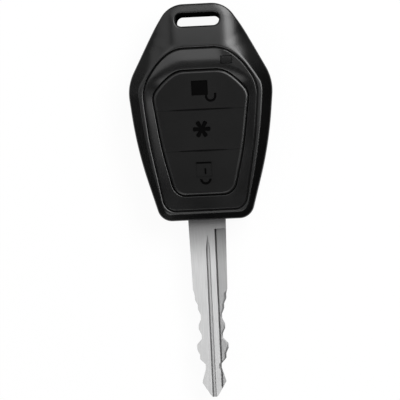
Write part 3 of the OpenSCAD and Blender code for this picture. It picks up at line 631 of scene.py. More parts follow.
def skirt_drop(over, radius, turned):
    """How far the skirt lies below the face, past the start of its ridge: a turn, a slow roll, a slope."""
    over = max(0, over)
    drop, start = 0, 0
    for bend, end in ((radius, math.sin(turned)), (ROLL_RADIUS, math.sin(SKIRT_TILT))):
        part = min(over, bend * (end - start))
        drop += bend * (math.sqrt(1 - start ** 2) - math.sqrt(1 - (start + part / bend) ** 2))
        over -= part
        start = end
    return drop + over * math.tan(SKIRT_TILT)


wall_points = grown(HEAD_LINE, 0)
to_outline = tracer(wall_points)


def face_height(x, y):
    """Height of the front at a point of the head's frame."""
    inset, place = to_outline(x, y)
    turned = min(SKIRT_TILT, math.radians(along(RIDGE_TURNS, place)))
    drop = skirt_drop(along(SKIRT_WIDTHS, place) - inset, along(RIDGE_RADII, place), turned)
    drop += CROWNING * max(0, y - CROWNED_FROM) ** 2
    return FACE_Z - drop - rounding(inset, WALL_EDGE)


print(f"face at its middle {face_height(0, 46):.2f} mm high, on a flank {face_height(12, 45):.2f} mm")

# %% Front shell
SEAM_EDGE = [(0.16, 0), (0.05, 0.05), (0, 0.16)]
RIM_EDGE = [(0.32, 0), (0.14, -0.04), (0.04, -0.14), (0, -0.34)]
FRONT_RINGS = 48
CROWDED_AT_WALL = 1.5
ROOF_Z = 10.4
POCKET = 0.7


def ring_between(outer, inner, share, height):
    """A ring at a share of the way between two lists of points, at the heights that a function gives."""
    places = [a.lerp(b, share) for a, b in zip(outer, inner)]
    return [at(x, y, height(x, y)) for x, y in places]


wall_rings = [ring(HEAD_LINE, -inset, SEAM_Z + up) for inset, up in SEAM_EDGE]
rim_points = grown(FRAME_LINE, RIM_EDGE[0][0])
shares = [(k / FRONT_RINGS) ** CROWDED_AT_WALL for k in range(FRONT_RINGS + 1)]
front_rings = [ring_between(wall_points, rim_points, share, face_height) for share in shares]
rim_heights = [point.z / MM for point in front_rings[-1]]
rim_rings = [
    [at(*point, z + up) for point, z in zip(grown(FRAME_LINE, grow), rim_heights)]
    for grow, up in soften(RIM_EDGE, 1)[1:]
]
inner_rings = stack(FRAME_LINE, [(0, ROOF_Z), (POCKET, ROOF_Z), (POCKET, SEAM_Z)])
front_shell = skin("front_cover", wall_rings + front_rings + rim_rings + inner_rings, closed=True)
print("front cover:", len(front_shell.data.polygons), "faces before its cuts")

# %% [markdown]
# Both shells share the slot for the key ring, with rounded rims on both faces, and the notch that the blade
# passes through. The slot's cutter flares at its two ends, so the rims are round without a bevel. The faces
# of the slot's wall get the matt finish, and each point of the front gets its mark of how rubbed it is:
# nothing on the face and the upper flanks, a little on the left skirt and most on the right one.

# %% Slot and notch
SLOT_RIM = 0.55
RIM_TURN = [(1.2, -0.12), (0.62, 0.04), (0.22, 0.3), (0.04, 0.66), (0, 1)]
SLOT_ROOM = 0.05
UPRIGHT = 0.3
NOTCH_HALF = 4.75
NOTCH_DEPTH = 5
OVERRUN = 1
RUB_START, RUB_FULL = 0.6, 1.1
LEFT_RUB, LEFT_RUB_X, RIGHT_RUB_X = 0.2, -12, 4
RUB_FADES, RUB_ENDS = 34, 41


def slot_cutter():
    """A cutter for the slot, whose upper flare follows the face where that rolls over."""
    lower = [ring(SLOT_LINE, grow * SLOT_RIM, up * SLOT_RIM) for grow, up in RIM_TURN]
    upper = []
    for grow, up in reversed(RIM_TURN):
        places = grown(SLOT_LINE, grow * SLOT_RIM)
        upper.append([at(*place, face_height(*place) - up * SLOT_RIM) for place in places])
    return skin("slot_cutter", lower + upper)


def notch_cutter():
    return block((-NOTCH_HALF, -OVERRUN, BLADE_LOW), (NOTCH_HALF, NOTCH_DEPTH, BLADE_HIGH))


def on_head(point):
    """A point of a mesh as x and y of the head's frame, in millimetres."""
    return point.x / MM, point.y / MM - FOOT_Y


def slot_finish(face):
    """1 on the upright wall of the slot, 0 elsewhere."""
    x, y = on_head(face.center)
    (half, low, _), (_, high, _) = SLOT_CORNERS
    inside = abs(x) < half + SLOT_ROOM and low - SLOT_ROOM < y < high + SLOT_ROOM
    return 1 if inside and abs(face.normal.z) < UPRIGHT else 0


def ease(value, low, high):
    """0 below low, 1 above high, and a smooth rise between them."""
    share = min(1, max(0, (value - low) / (high - low)))
    return share * share * (3 - 2 * share)


def mark_skirt(piece):
    """Stores on each point how rubbed it is, from 0 to 1."""
    marks = piece.data.attributes.new("skirt", "FLOAT", "POINT")
    for vertex, mark in zip(piece.data.vertices, marks.data):
        x, y = on_head(vertex.co)
        inset, place = to_outline(x, y)
        ridge_width = along(RIDGE_RADII, place) * math.sin(SKIRT_TILT)
        on_skirt = ease((along(SKIRT_WIDTHS, place) - inset) / ridge_width, RUB_START, RUB_FULL)
        by_side = LEFT_RUB + (1 - LEFT_RUB) * ease(x, LEFT_RUB_X, RIGHT_RUB_X)
        mark.value = on_skirt * by_side * (1 - ease(place, RUB_FADES, RUB_ENDS))


combine(front_shell, "DIFFERENCE", slot_cutter(), notch_cutter())
dress(front_shell, "case", "front_shell", "shell_plastic", SHELL, SLOT_WALL)
paint(front_shell, slot_finish)
mark_skirt(front_shell)

# %% [markdown]
# The rear shell is a cup with a rounded back edge. Inside it stand the posts, the seat of the tang, the
# ring under the battery and the saddles of the capsule, all in one moulding. Three stepped holes from the
# back take the screws, with collars inside where the heads are sunk deeper than the floor. A groove in the
# rim holds the seal. A Solidify modifier could hollow the cup, but the hollow stops short of the foot and
# the ring end, so it gets rings of its own.

# %% Rear shell, cup
BACK_EDGE = [(1.25, 0), (1, 0), (0.55, 0.2), (0.14, 0.68), (0, 1), (0, 1.15)]
BACK_EDGE_W = 2.4
BACK_EDGE_H = 2.6
WALL = 1.8
LEDGE_INSET, LEDGE_END = 3.5, 0.3
LEDGE_Z = 3.4
FLOOR_Z = 1.6
HOLLOW_LOW, HOLLOW_HIGH = 3.4, 42.65


def hollow_ring(inset, z, short=0):
    """A ring of the hollow, which stops before the foot and the ring end, or shorter still."""
    low, high = HOLLOW_LOW + short, HOLLOW_HIGH - short
    return [at(x, min(high, max(low, y)), z) for x, y in grown(HEAD_LINE, -inset)]


back_rings = [ring(HEAD_LINE, -inset * BACK_EDGE_W, up * BACK_EDGE_H) for inset, up in soften(BACK_EDGE)]
seam_rings = [ring(HEAD_LINE, -inset, SEAM_Z - up) for inset, up in reversed(SEAM_EDGE)]
cup_rings = [
    hollow_ring(WALL, SEAM_Z),
    hollow_ring(WALL, LEDGE_Z),
    hollow_ring(LEDGE_INSET, LEDGE_Z, LEDGE_END),
    hollow_ring(LEDGE_INSET, FLOOR_Z, LEDGE_END),
]
rear_shell = skin("rear_cover", back_rings + seam_rings + cup_rings)
print("rear cup:", len(rear_shell.data.polygons), "faces")

# %% Rear shell, inside and holes
SCREW_PLACES = [(-7.6, 4.2), (7.6, 4.2), (0, 45.45)]
ROOT_Z = FLOOR_Z - 0.2
POST_TOP = SEAM_Z - 0.05
SCREW_POST, SCREW_HOLE, SCREW_COLLAR, SHANK_HOLE = 1.9, 1.9, 2.8, 1.2
SCREW_REST_Z, COLLAR_Z = 2, 2.9
SEAT_HALF, SEAT_LOW, SEAT_HIGH = 5.4, 3.2, 12.1
TANG_ROOM_HALF, TANG_ROOM_END = 4.05, 11.55
CELL_Y = 27
CRADLE_R, CRADLE_HOLE_R, CRADLE_Z, CRADLE_HOLE_Z = 7, 5.8, 3.9, 5
SADDLE_LEFT, SADDLE_RIGHT, SADDLE_HALF, SADDLE_Z = -8.8, -5.9, 0.8, 3.25
SADDLE_YS = (10, 17.2)
GASKET_NEAR, GASKET_FAR, GASKET_DEPTH = 0.6, 1.2, 0.5
GASKET_SECTION = [(-GASKET_NEAR, SEAM_Z + OVERRUN), (-GASKET_NEAR, SEAM_Z - GASKET_DEPTH),
                  (-GASKET_FAR, SEAM_Z - GASKET_DEPTH), (-GASKET_FAR, SEAM_Z + OVERRUN)]

seat = block((-SEAT_HALF, SEAT_LOW, ROOT_Z), (SEAT_HALF, SEAT_HIGH, POST_TOP))
cradle = post(0, CELL_Y, CRADLE_R, ROOT_Z, CRADLE_Z)
combine(cradle, "DIFFERENCE", post(0, CELL_Y, CRADLE_HOLE_R, 0, CRADLE_HOLE_Z))
screw_posts = [post(x, y, SCREW_POST, ROOT_Z, POST_TOP) for x, y in SCREW_PLACES[:2]]
collars = [post(x, y, SCREW_COLLAR, ROOT_Z, COLLAR_Z) for x, y in SCREW_PLACES[:2]]
saddles = [
    block((SADDLE_LEFT, y - SADDLE_HALF, ROOT_Z), (SADDLE_RIGHT, y + SADDLE_HALF, SADDLE_Z))
    for y in SADDLE_YS
]
combine(rear_shell, "UNION", seat, cradle, *collars, *screw_posts, *saddles)
seal_groove = skin("seal_groove", stack(HEAD_LINE, GASKET_SECTION), closed=True)
tang_room = block(
    (-TANG_ROOM_HALF, NOTCH_DEPTH - OVERRUN, BLADE_LOW), (TANG_ROOM_HALF, TANG_ROOM_END, SEAM_Z + OVERRUN)
)
combine(rear_shell, "DIFFERENCE", seal_groove, slot_cutter(), notch_cutter(), tang_room)
for x, y in SCREW_PLACES:
    shank_hole = post(x, y, SHANK_HOLE, -OVERRUN, SEAM_Z + OVERRUN)
    combine(rear_shell, "DIFFERENCE", shank_hole, post(x, y, SCREW_HOLE, -OVERRUN, SCREW_REST_Z))
close_up(rear_shell)
dress(rear_shell, "case", "rear_shell", "shell_plastic", SHELL, SLOT_WALL)
paint(rear_shell, slot_finish)

# %% [markdown]
# The smoked frame round the buttons is a crowned bar. On the top rail its crest runs along the middle, so
# the outer half catches the light and the inner half stays dark, as in the photograph. Round the status
# window the top rail is a flat land. On the side rails the crest lies at the shell, and the whole rail
# slopes down to the buttons. At the foot the frame is flat. Here too the height of a point follows from its
# distances to the two outlines. The frame is a skin that closes on itself.

# %% Button frame
FRAME_GAP = 0.35
BUTTON_GAP = 0.15
FLANGE = 0.5
LIP_Z = 10.65
LIP = 1
CROWN_STEPS = 26
FRAME_EDGE = 0.1
FOOT_FLAT, FOOT_SLOPED = 3, 30
SIDES_END, TOP_STARTS = 33, 40
CREST_SIDE, CREST_TOP = 0.06, 0.6
SLOPE_SIDE, SLOPE_TOP, SLOPE_OUT = 0.15, 0.015, 0.12
ROUND_SIDE, ROUND_TOP = 0.4, 1
LAND_FROM, LAND_TO = 4, 6.5
LEFT_FROM, LEFT_TO, LEFT_FLATTER = -2, -8, 0.4

shell_side = grown(FRAME_LINE, -FRAME_GAP)
button_side = grown(BUTTON_LINE, BUTTON_GAP)
to_shell = tracer(shell_side)
to_buttons = tracer(button_side)


def crown_height(x, y):
    """Height of the frame at a point of the head's frame."""
    outset, inset = to_shell(x, y)[0], to_buttons(x, y)[0]
    top = ease(y, SIDES_END, TOP_STARTS)
    crest = CREST_SIDE + (CREST_TOP - CREST_SIDE) * top
    past = outset - crest * (outset + inset)
    inner_slope = SLOPE_SIDE + (SLOPE_TOP - SLOPE_SIDE) * top
    flatter = max(ease(x, LAND_FROM, LAND_TO), LEFT_FLATTER * ease(-x, -LEFT_FROM, -LEFT_TO))
    slope = SLOPE_OUT * (1 - flatter) if past < 0 else inner_slope
    bend = ROUND_SIDE + (ROUND_TOP - ROUND_SIDE) * top
    fall = slope * (math.hypot(past, bend) - bend) * ease(y, FOOT_FLAT, FOOT_SLOPED)
    return CROWN_Z - fall - rounding(outset, FRAME_EDGE) - rounding(inset, FRAME_EDGE)


shares = [(1 - math.cos(math.pi * k / CROWN_STEPS)) / 2 for k in range(CROWN_STEPS + 1)]
crown_rings = [ring_between(shell_side, button_side, share, crown_height) for share in shares]
lip_rings = stack(BUTTON_LINE, [(BUTTON_GAP, LIP_Z), (LIP, LIP_Z), (LIP, FRAME_Z)])
flange_rings = stack(FRAME_LINE, [(FLANGE, FRAME_Z), (FLANGE, ROOF_Z), (-FRAME_GAP, ROOF_Z)])
button_frame = skin("button_frame", crown_rings + lip_rings + flange_rings, closed=True)
print("frame:", len(button_frame.data.polygons), "faces before its window")

# %% [markdown]
# The status light shines through a small window in the top rail. The window is a block with rounded edges,
# and the frame has a hole for it with a hair of clearance. A Bevel modifier is enough to round so small a
# piece.

# %% Status window
WINDOW_MIDDLE = (6.8, 39.6)
WINDOW_HALF = (1.4, 0.95)
WINDOW_LOW_Z = 9.1
WINDOW_TOP_Z = CROWN_Z - 0.3
WINDOW_EDGE = 0.15
HAIR = 0.05


def window_block(gap, low, high):
    x, y = WINDOW_MIDDLE
    w, h = (half + gap for half in WINDOW_HALF)
    return block((x - w, y - h, low), (x + w, y + h, high))


def bevel(piece, width, segments):
    """Rounds the sharp edges of a piece, by a width in millimetres."""
    edge = piece.modifiers.new("edge", "BEVEL")
    edge.width = width * MM
    edge.segments = segments
    edge.limit_method = "ANGLE"
    apply_modifiers(piece)


combine(button_frame, "DIFFERENCE", window_block(HAIR, FRAME_Z - OVERRUN, CROWN_Z + OVERRUN))
dress(button_frame, "case", "bezel_frame", "bezel_smoke", SMOKE)

window = window_block(0, WINDOW_LOW_Z, WINDOW_TOP_Z)
window.name = "status_window"
bevel(window, WINDOW_EDGE, 3)
dress(window, "case", "light_window", "window_smoke", WINDOW)

# %% [markdown]
# The three buttons are one rubber pad in three parts. The pad is made once for each button, with a rounded
# upper edge, and cut along the creases. Each button could have an outline of its own, but cutting one pad
# keeps their edges in line. A crease is a shallow V that doesn't reach the edges. The symbols are sunk: an
# open padlock, a star and a shut padlock, drawn with the blade pointing up.

# %% Button pad and creases
PAD_FLANGE_Z = 10.6
PAD_FLANGE = 0.8
PAD_EDGE = [(0, -0.7), (0, -0.46), (-0.06, -0.3), (-0.3, -0.1), (-0.55, -0.01), (-0.8, 0)]
CREASES = {"high": (27.5, 17), "low": (17.25, 13)}
CREASE_DEPTHS = [(-0.5, 0.02), (-0.4, 0.6), (0, 1), (0.4, 0.6), (0.5, 0.02)]
CREASE_SPREAD = 2
CREASE_GAP = 0.025
MARK_DEPTH = 0.25
BEYOND_HEAD = 20


def between_creases(piece, low_y, high_y):
    """Keeps the stretch of a piece between two places along the head."""
    return combine(piece, "INTERSECT", block((-BEYOND_HEAD, low_y, 0), (BEYOND_HEAD, high_y, BEYOND_HEAD)))


def pad_part(name, low_y, high_y):
    """The stretch of the rubber pad between two places along the head."""
    flange = [(PAD_FLANGE, FRAME_Z), (PAD_FLANGE, PAD_FLANGE_Z), (0, PAD_FLANGE_Z)]
    edge = [(grow, BUTTON_Z + up) for grow, up in soften(PAD_EDGE, 1)]
    return between_creases(skin(name, stack(BUTTON_LINE, flange + edge)), low_y, high_y)


def crease_cutter(y, length):
    """A long V, deepest in its middle, that runs out into the button face at both ends."""
    rings = []
    for share, depth in CREASE_DEPTHS:
        deep = depth * MARK_DEPTH
        mouth = [(y - CREASE_SPREAD * deep, deep), (y, -deep), (y + CREASE_SPREAD * deep, deep)]
        rings.append([at(share * length, place, BUTTON_Z + up) for place, up in mouth])
    return skin("crease", rings)


print("creases at", [place for place, _ in CREASES.values()])

# %% Symbols
LOCK_W, LOCK_H = 4.1, 3.7
BOW_R, BOW_STROKE, BOW_STEPS = 1.15, 0.6, 20
OPEN_BODY, OPEN_BOW = (-0.2, 32.9), (2.5, 30.75)
OPEN_LEGS = [(-BOW_R, 30.9, 0.4), (BOW_R, 31.1, 0.8)]
STAR_MIDDLE = (-0.12, 22.62)
STAR_R, STAR_WAIST, STAR_END, STAR_CLIP, STAR_TIP = 2.2, 0.75, 1.15, 0.3, 0.6
STROKE = 0.45
SHUT_Y, SHUT_BOW, TOP_SHORTER = 12.6, (0.35, 10.2), 0.3
KEYHOLE_DOWN, KEYHOLE_LEN = 0.5, 1.5
FAINT, FAINT_DEPTH = 0.3, 0.08


def sunk(points, depth=MARK_DEPTH):
    """A cutter that sinks a flat figure of the head's frame into the button face."""
    return skin("mark", [[at(x, y, BUTTON_Z + up) for x, y in points] for up in (-depth, MARK_DEPTH)])


def bar(x, y, width, height, depth=MARK_DEPTH):
    """An upright rectangle round its middle."""
    return sunk([(x + i * width / 2, y + j * height / 2) for i, j in SQUARE], depth)


def petals(x, y, turn):
    """Two opposite arms of the star, wider at their ends and with clipped corners."""
    tip, waist, end = STAR_R, STAR_WAIST / 2, STAR_END / 2
    upper = [(tip, STAR_TIP * end), (tip - STAR_CLIP, end), (0, waist)]
    right = [(a, -b) for a, b in reversed(upper)] + upper
    spots = right + [(-a, -b) for a, b in right[1:5]]
    c, s = math.cos(turn), math.sin(turn)
    return sunk([(x + c * a - s * b, y + s * a + c * b) for a, b in spots])


def bow(x, y):
    """The bow of a padlock that hangs below its body."""
    turns = [math.pi * (1 + k / BOW_STEPS) for k in range(BOW_STEPS + 1)]
    ends = [
        [(x + radius * math.cos(t), y + radius * math.sin(t)) for t in turns]
        for radius in (BOW_R + BOW_STROKE / 2, BOW_R - BOW_STROKE / 2)
    ]
    return sunk(ends[0] + ends[1][::-1])


def open_padlock():
    legs = [bar(OPEN_BOW[0] + aside, y, BOW_STROKE, height) for aside, y, height in OPEN_LEGS]
    return [bar(*OPEN_BODY, LOCK_W, LOCK_H), bow(*OPEN_BOW), *legs]


def star():
    return [petals(*STAR_MIDDLE, math.radians(turn)) for turn in (0, 60, 120)]


def shut_padlock():
    """Shut padlock: inked keyhole and bow; top stroke a painted shadow, body outline painted shade."""
    # The black top stroke stands for the shadow under the top edge of the body: a painted shadow.
    top = bar(0, SHUT_Y + (LOCK_H - STROKE) / 2, LOCK_W - TOP_SHORTER, STROKE)
    keyhole = bar(SHUT_BOW[0], SHUT_Y - KEYHOLE_DOWN, STROKE, KEYHOLE_LEN)
    side = (LOCK_W - FAINT) / 2
    # The faint outline gets the faint painted shade.
    rails = [bar(way * side, SHUT_Y, FAINT, LOCK_H, FAINT_DEPTH) for way in (1, -1)]
    return [top, keyhole, bow(*SHUT_BOW), *rails, bar(0, SHUT_Y - LOCK_H / 2, LOCK_W, FAINT, FAINT_DEPTH)]


print("three symbols")

# %% Three buttons
HIGH_Y, HIGH_LEN = CREASES["high"]
LOW_Y, LOW_LEN = CREASES["low"]
BUTTONS = {
    "unlock": (HIGH_Y + CREASE_GAP, HEAD_LEN, [(HIGH_Y, HIGH_LEN)], open_padlock),
    "star": (LOW_Y + CREASE_GAP, HIGH_Y - CREASE_GAP, [(HIGH_Y, HIGH_LEN), (LOW_Y, LOW_LEN)], star),
    "lock": (-OVERRUN, LOW_Y - CREASE_GAP, [(LOW_Y, LOW_LEN)], shut_padlock),
}
LEVEL, SAME_DEPTH = 0.9, 0.01
RUBBED_WIDE, RUBBED_STEEP, RUBBED_LEVEL = 1, 0.2, 0.9995


def button_finish(face):
    """Number of a face's finish: rubber, ink or painted shadow, faint painted shade, or the rubbed edge."""
    depth = BUTTON_Z - face.center.z / MM
    for number, sunk_depth in ((1, MARK_DEPTH), (2, FAINT_DEPTH)):
        if face.normal.z > LEVEL and abs(depth - sunk_depth) < SAME_DEPTH:
            return number
    to_rim = min((Vector(on_head(face.center)) - point).length for point, _ in BUTTON_LINE)
    return 3 if to_rim < RUBBED_WIDE and RUBBED_STEEP < face.normal.z < RUBBED_LEVEL else 0


for name, (low_y, high_y, creases, symbol) in BUTTONS.items():
    button = pad_part(f"{name}_cap", low_y, high_y)
    combine(button, "DIFFERENCE", *(crease_cutter(*crease) for crease in creases), *symbol())
    dress(button, f"{name}_key", f"{name}_button", "button_rubber", RUBBER, INK_AND_PAINTED_SHADOW, FAINT_PAINTED_SHADE, RUBBED)
    paint(button, button_finish)

# %% [markdown]
# Under the buttons lies a silicone mat. Its rim stands on the circuit board and is held down by the frame.
# Inside the rim, each button has a pad that goes down with it. On the way it is squeezed to half its
# thickness by the stem of the switch below, which goes down half as far as the button; that squeeze is not
# modelled, and the pad keeps its shape at every pose. Over the two tall pieces of the circuit board the pads
# are thin.

# %% Mat under the buttons
MAT_LOW, MAT_TOP = reach("keymat", 2)
MAT_THICK = 0.58
MAT_EDGE = 0.08
MAT_RIM = [(0.85, MAT_LOW), (0.85, MAT_TOP), (1.6, MAT_TOP), (1.6, MAT_LOW)]
MAT_PAD = [(0.67, -MAT_THICK), (0.75, MAT_EDGE - MAT_THICK), (0.75, -MAT_EDGE), (0.67, 0)]
MAT_THIN = 0.15
MAT_ROOM = 0.3
SILICONE = moulded("mat_silicone", grey(0.07), grey(0.1), (0.5, 0.65), 0.2, 0.008)


def room_over(node):
    """A cutter that leaves a thin stretch of mat over a piece on the circuit board."""
    (low_x, high_x), (low_y, high_y) = reach(node, 0), reach(node, 1)
    low = (low_x - MAT_ROOM, low_y - FOOT_Y - MAT_ROOM, 0)
    return block(low, (high_x + MAT_ROOM, high_y - FOOT_Y + MAT_ROOM, MAT_TOP - MAT_THIN))


mat_rim = skin("mat_rim", stack(BUTTON_LINE, MAT_RIM), closed=True)
combine(mat_rim, "DIFFERENCE", window_block(MAT_ROOM, 0, CROWN_Z))
dress(mat_rim, "case", "keymat", "mat_silicone", SILICONE)
for name, (low_y, high_y, _, _) in BUTTONS.items():
    pad = skin(f"{name}_mat", [ring(BUTTON_LINE, grow, MAT_TOP + up) for grow, up in MAT_PAD])
    between_creases(pad, low_y, high_y)
    combine(pad, "DIFFERENCE", room_over("radio_chip"), room_over("crystal_can"))
    dress(pad, f"{name}_key", "keymat", "mat_silicone", SILICONE)
    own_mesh(pad)

# %% [markdown]
# The blade is a flat bar of nickel silver. Its edges carry the cuts: eight codes at an even pitch, each a
# short flat at a depth of so many steps, joined by slopes. A tapered cutter leaves a slanting flat along
# them, which shows on the right of each face. The faces have a central groove that starts in a point, and a
# stepped side with a narrow V along it. Both faces are alike when the blade is turned over. A fine bevel
# takes the sharpness off all edges and gives them a line of light. The cuts are part of the outline,
# because they run through the whole thickness. The grooves are boolean cuts, because they lie in the faces
# alone.

# %% Blade, outline
BLADE_LEN = 44.6
HEAD_HALF, CUT_HALF, TANG_HALF = 4.7, 4.3, 4
TANG_LEN, COLLAR = 11.5, 3.4
FIRST_CUT, CUT_PITCH, CUT_STEP, CUT_LAND, RUN_IN = 19.4, 2.5, 0.65, 1.1, 0.75
CUT_CODES = [1, 2, 3, 2, 3, 1, 2, 4]
TIP_CODE = 2
TIP_LEN, TIP_HALF = 3.7, 1
CUT_LEAN, SLANT_TOP, SLANT_END = 0.3, 0.42, 0.8


def blade_edge(lean):
    """The right edge of the blade from the end of the tang to the tip, with its cuts moved by a lean."""
    points = [(TANG_HALF, TANG_LEN), (TANG_HALF, COLLAR), (HEAD_HALF, COLLAR), (HEAD_HALF, 0)]
    points.append((CUT_HALF, RUN_IN * CUT_PITCH - FIRST_CUT))
    for k, code in enumerate(CUT_CODES):
        x = CUT_HALF - code * CUT_STEP + lean
        y = -FIRST_CUT - k * CUT_PITCH
        points += [(x, y + CUT_LAND / 2), (x, y - CUT_LAND / 2)]
    points.append((CUT_HALF - TIP_CODE * CUT_STEP, TIP_LEN - BLADE_LEN))
    points += [(TIP_HALF, TIP_HALF / 2 - BLADE_LEN), (TIP_HALF / 2, -BLADE_LEN)]
    return points


def blade_ring(right, left, z):
    """The blade's outline at a height, with the cuts of each edge moved out (1) or in (-1)."""
    mirrored = [(-x, y) for x, y in reversed(blade_edge(left * CUT_LEAN))]
    return [at(x, y, z) for x, y in blade_edge(right * CUT_LEAN) + mirrored]


blade = skin("steel_blade", [
    blade_ring(1, -1, BLADE_LOW),
    blade_ring(1, -1, BLADE_LOW + SLANT_TOP),
    blade_ring(1, 1, BLADE_LOW + SLANT_END),
    blade_ring(1, 1, BLADE_HIGH - SLANT_END),
    blade_ring(-1, 1, BLADE_HIGH - SLANT_TOP),
    blade_ring(-1, 1, BLADE_HIGH),
])
print("blade:", len(blade_edge(0)), "corners on each edge")

# %% Blade, grooves
GROOVE_START, GROOVE_POINT, POINT_SIZE = 3.8, 3.5, 0.05
GROOVE_SECTION = [(-0.65, 0.1), (-0.2, -0.5), (0.28, -0.5), (0.46, 0.1)]
STEP_START = 2.4
STEP_SECTION = [(1.85, 1), (1.85, -0.62), (HEAD_HALF + OVERRUN, -0.25), (HEAD_HALF + OVERRUN, 1)]
RELIEF_SECTION = [(1.72, 0.1), (1.95, -1), (2.25, -0.5), (2.25, 0.1)]
BLADE_MIDDLE = (BLADE_LOW + BLADE_HIGH) / 2
BLADE_HALF_T = (BLADE_HIGH - BLADE_LOW) / 2
PIN_Y, PIN_HOLE, PIN_REACH = 8, 1.05, 12
FINE_BEVEL = 0.07
LOWERED, STEEP = 0.1, 0.1


def face_cutter(section, start, point, way):
    """A cutter along the upper face (way 1) or the lower one (way -1), from a section across the blade."""
    middle = sum(x for x, _ in section) / len(section)
    stations = [(-BLADE_LEN - OVERRUN, 1), (-start - point, 1)] + ([(-start, POINT_SIZE)] if point else [])
    rings = []
    for y, size in stations:
        figure = [(middle + (x - middle) * size, up * size if up < 0 else up) for x, up in section]
        rings.append([at(way * x, y, BLADE_MIDDLE + way * (BLADE_HALF_T + up)) for x, up in figure])
    return skin("groove", rings)


def blade_finish(face):
    """1 in the recesses of the faces, which get the painted shade, 0 elsewhere."""
    depth = abs(abs(face.center.z / MM - BLADE_MIDDLE) - BLADE_HALF_T)
    return 1 if depth > LOWERED and abs(face.normal.z) > STEEP else 0


for way in (1, -1):
    combine(
        blade, "DIFFERENCE",
        face_cutter(GROOVE_SECTION, GROOVE_START, GROOVE_POINT, way),
        face_cutter(STEP_SECTION, STEP_START, 0, way),
        face_cutter(RELIEF_SECTION, STEP_START, 0, way),
    )
combine(blade, "DIFFERENCE", post(0, PIN_Y, PIN_HOLE, 0, PIN_REACH))
bevel(blade, FINE_BEVEL, 2)
dress(blade, "case", "key_blade", "blade_steel", BLADE, RECESS_PAINTED_SHADE)
paint(blade, blade_finish)

# %% [markdown]
# Three equal screws hold the shells together from the back. One screw is modelled, with a rounded head and
# a cross recess, and Geometry Nodes set it on three points, each turned a little further, as screws end up
# by chance. The instances are made real and the tree sets the finish, so the result is an ordinary mesh.

# %% One screw
HEAD_R, HEAD_LOW, HEAD_TOP = 1.7, 0.8, 2
SHANK_R, SHANK_END, SHANK_TAPER = 0.95, 7.6, 0.6
SCREW_SECTION = [(0.9, 0), (1.4, 0.05), (1.63, 0.22), (HEAD_R, 0.5)]
RECESS_LEN, RECESS_W, RECESS_DEPTH = 2, 0.45, 0.6


def upright(points, z):
    """Points round the screw's own axis, at a height."""
    return [Vector((x, y, z)) * MM for x, y in points]


head = [(radius, HEAD_LOW + up) for radius, up in soften(SCREW_SECTION, 1)] + [(HEAD_R, HEAD_TOP)]
shank = [(SHANK_R, HEAD_TOP), (SHANK_R, SHANK_END - SHANK_TAPER), (SHANK_R / 2, SHANK_END)]
screw = skin("screw", [upright(circle(radius), z) for radius, z in head + shank])
for w, h in ((RECESS_LEN, RECESS_W), (RECESS_W, RECESS_LEN)):
    corners = [(i * w / 2, j * h / 2) for i, j in SQUARE]
    levels = (HEAD_LOW - OVERRUN, HEAD_LOW + RECESS_DEPTH)
    combine(screw, "DIFFERENCE", skin("recess", [upright(corners, z) for z in levels]))
print("screw:", len(screw.data.polygons), "faces")

# %% Three screws by Geometry Nodes
TURN_PER_SCREW = 0.7
screw_tree = bpy.data.node_groups.new("set_of_screws", "GeometryNodeTree")


def tree_socket(name, kind, in_out="INPUT"):
    """A named input or output of the tree of screws."""
    return screw_tree.interface.new_socket(name, in_out=in_out, socket_type=f"NodeSocket{kind}")


tree_socket("Geometry", "Geometry")
inputs = {
    tree_socket("Screw", "Object").identifier: screw,
    tree_socket("Turn Per Screw", "Float").identifier: TURN_PER_SCREW,
    tree_socket("Finish", "Material").identifier: ZINC,
}
tree_socket("Geometry", "Geometry", "OUTPUT")
given = add_node(screw_tree, "NodeGroupInput").outputs
info = add_node(screw_tree, "GeometryNodeObjectInfo", {"Object": given["Screw"]})
index = add_node(screw_tree, "GeometryNodeInputIndex").outputs[0]
angle = add_node(screw_tree, "ShaderNodeMath", {0: index, 1: given["Turn Per Screw"]}, operation="MULTIPLY")
spin = add_node(screw_tree, "ShaderNodeCombineXYZ", {"Z": angle.outputs[0]})
copies = add_node(screw_tree, "GeometryNodeInstanceOnPoints", {
    "Points": given["Geometry"], "Instance": info.outputs["Geometry"], "Rotation": spin.outputs[0],
})
real = add_node(screw_tree, "GeometryNodeRealizeInstances", {0: copies.outputs[0]})
painted = add_node(screw_tree, "GeometryNodeSetMaterial", {
    "Geometry": real.outputs[0], "Material": given["Finish"],
})
add_node(screw_tree, "NodeGroupOutput", {0: painted.outputs[0]})

point_mesh = bpy.data.meshes.new("screw_points")
point_mesh.from_pydata([at(x, y, 0) for x, y in SCREW_PLACES], [], [])
screws = new_object("cover_screws", point_mesh)
set_screws = screws.modifiers.new("set_of_screws", "NODES")
set_screws.node_group = screw_tree
for identifier, value in inputs.items():
    set_screws[identifier] = value
apply_modifiers(screws)
bpy.data.objects.remove(screw)
dress(screws, "case", "case_screws", "screw_steel", ZINC)

# %% [markdown]
# What is inside the head keeps its construction shape, because only a finish is missing there: rubber,
# laminate with copper tracks, moulded switches, chips, a wound antenna, steel, brass and glass. Bands from
# a wave texture stand for wire and tracks.

# %% Finishes of the inside
BAND_WOBBLE, BAND_GRAIN, BAND_DEPTH = 1.5, 0.8, 0.02
WAVE_PERIOD = math.pi / 10


def banded(name, dark, light, rough, band, direction, **constants):
    """A finish with even bands, such as wire or tracks; band is their width in millimetres."""
    material, shader = new_finish(name, **constants)
    scale = WAVE_PERIOD / (band * MM)
    sockets = {"Vector": place_on_piece(shader), "Scale": scale, "Distortion": BAND_WOBBLE}
    bands = add_node(shader, "ShaderNodeTexWave", sockets, bands_direction=direction).outputs["Fac"]
    shades(shader, bands, dark, light)
    roughness(shader, grain(shader, BAND_GRAIN), *rough)
    relief(shader, bands, BAND_DEPTH)
    return material


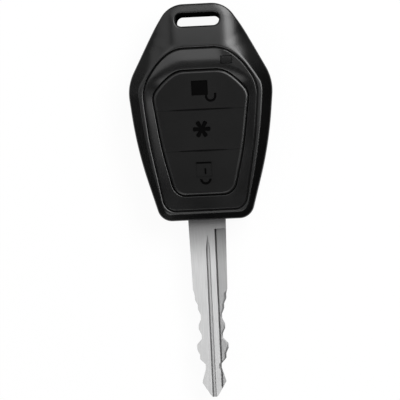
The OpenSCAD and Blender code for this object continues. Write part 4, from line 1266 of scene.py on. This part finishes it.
INSIDE = {
    moulded("seal_rubber", grey(0.012), grey(0.02), (0.6, 0.75), 0.2, 0.01): ["seam_gasket"],
    banded("board_laminate", (0.01, 0.09, 0.03), (0.02, 0.16, 0.06), (0.25, 0.4), 0.6, "X"): [
        "circuit_board",
    ],
    moulded("switch_housing", grey(0.02), grey(0.035), (0.4, 0.5), 0.15, 0.006): [
        f"{name}_switch" for name in BUTTONS
    ],
    moulded("stem_plastic", (0.42, 0.34, 0.16), (0.52, 0.44, 0.24), (0.35, 0.5), 0.15, 0.004): [
        f"{name}_stem" for name in BUTTONS
    ],
    moulded("lamp_resin", (0.7, 0.66, 0.5), (0.82, 0.78, 0.64), (0.15, 0.3), 0.3, 0.004): ["status_light"],
    moulded("chip_resin", grey(0.012), grey(0.024), (0.45, 0.6), 0.12, 0.006): [
        "microcontroller", "radio_chip",
    ],
    drawn_metal("can_steel", grey(0.5), grey(0.6), (0.2, 0.35), 0.2, (1, 0.1, 1), 0.002): ["crystal_can"],
    banded("antenna_wire", (0.05, 0.02, 0.012), (0.4, 0.18, 0.08), (0.25, 0.4), 0.12, "Y"): [
        "antenna_block",
    ],
    moulded("chip_ceramic", (0.3, 0.22, 0.13), (0.45, 0.36, 0.24), (0.4, 0.55), 0.2, 0.004): ["chip_parts"],
    drawn_metal("cell_steel", grey(0.52), grey(0.62), (0.2, 0.35), 0.25, EVEN, 0.003): ["coin_cell"],
    drawn_metal("spring_steel", grey(0.4), grey(0.5), (0.2, 0.32), 0.15, (0.05, 1, 1), 0.003): [
        "battery_clip", "blade_pin",
    ],
    drawn_metal("contact_brass", (0.5, 0.38, 0.14), (0.62, 0.5, 0.24), (0.22, 0.36), 0.2, EVEN, 0.003): [
        "battery_contact",
    ],
    banded("capsule_glass", (0.2, 0.08, 0.04), (0.5, 0.28, 0.16), (0.04, 0.1), 0.15, "Y", Coat_Weight=1): [
        "transponder_capsule",
    ],
}
for finish, names in INSIDE.items():
    for name in names:
        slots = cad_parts[name].data.materials
        slots.clear()
        slots.append(finish)
print("inside pieces finished:", sum(len(names) for names in INSIDE.values()))
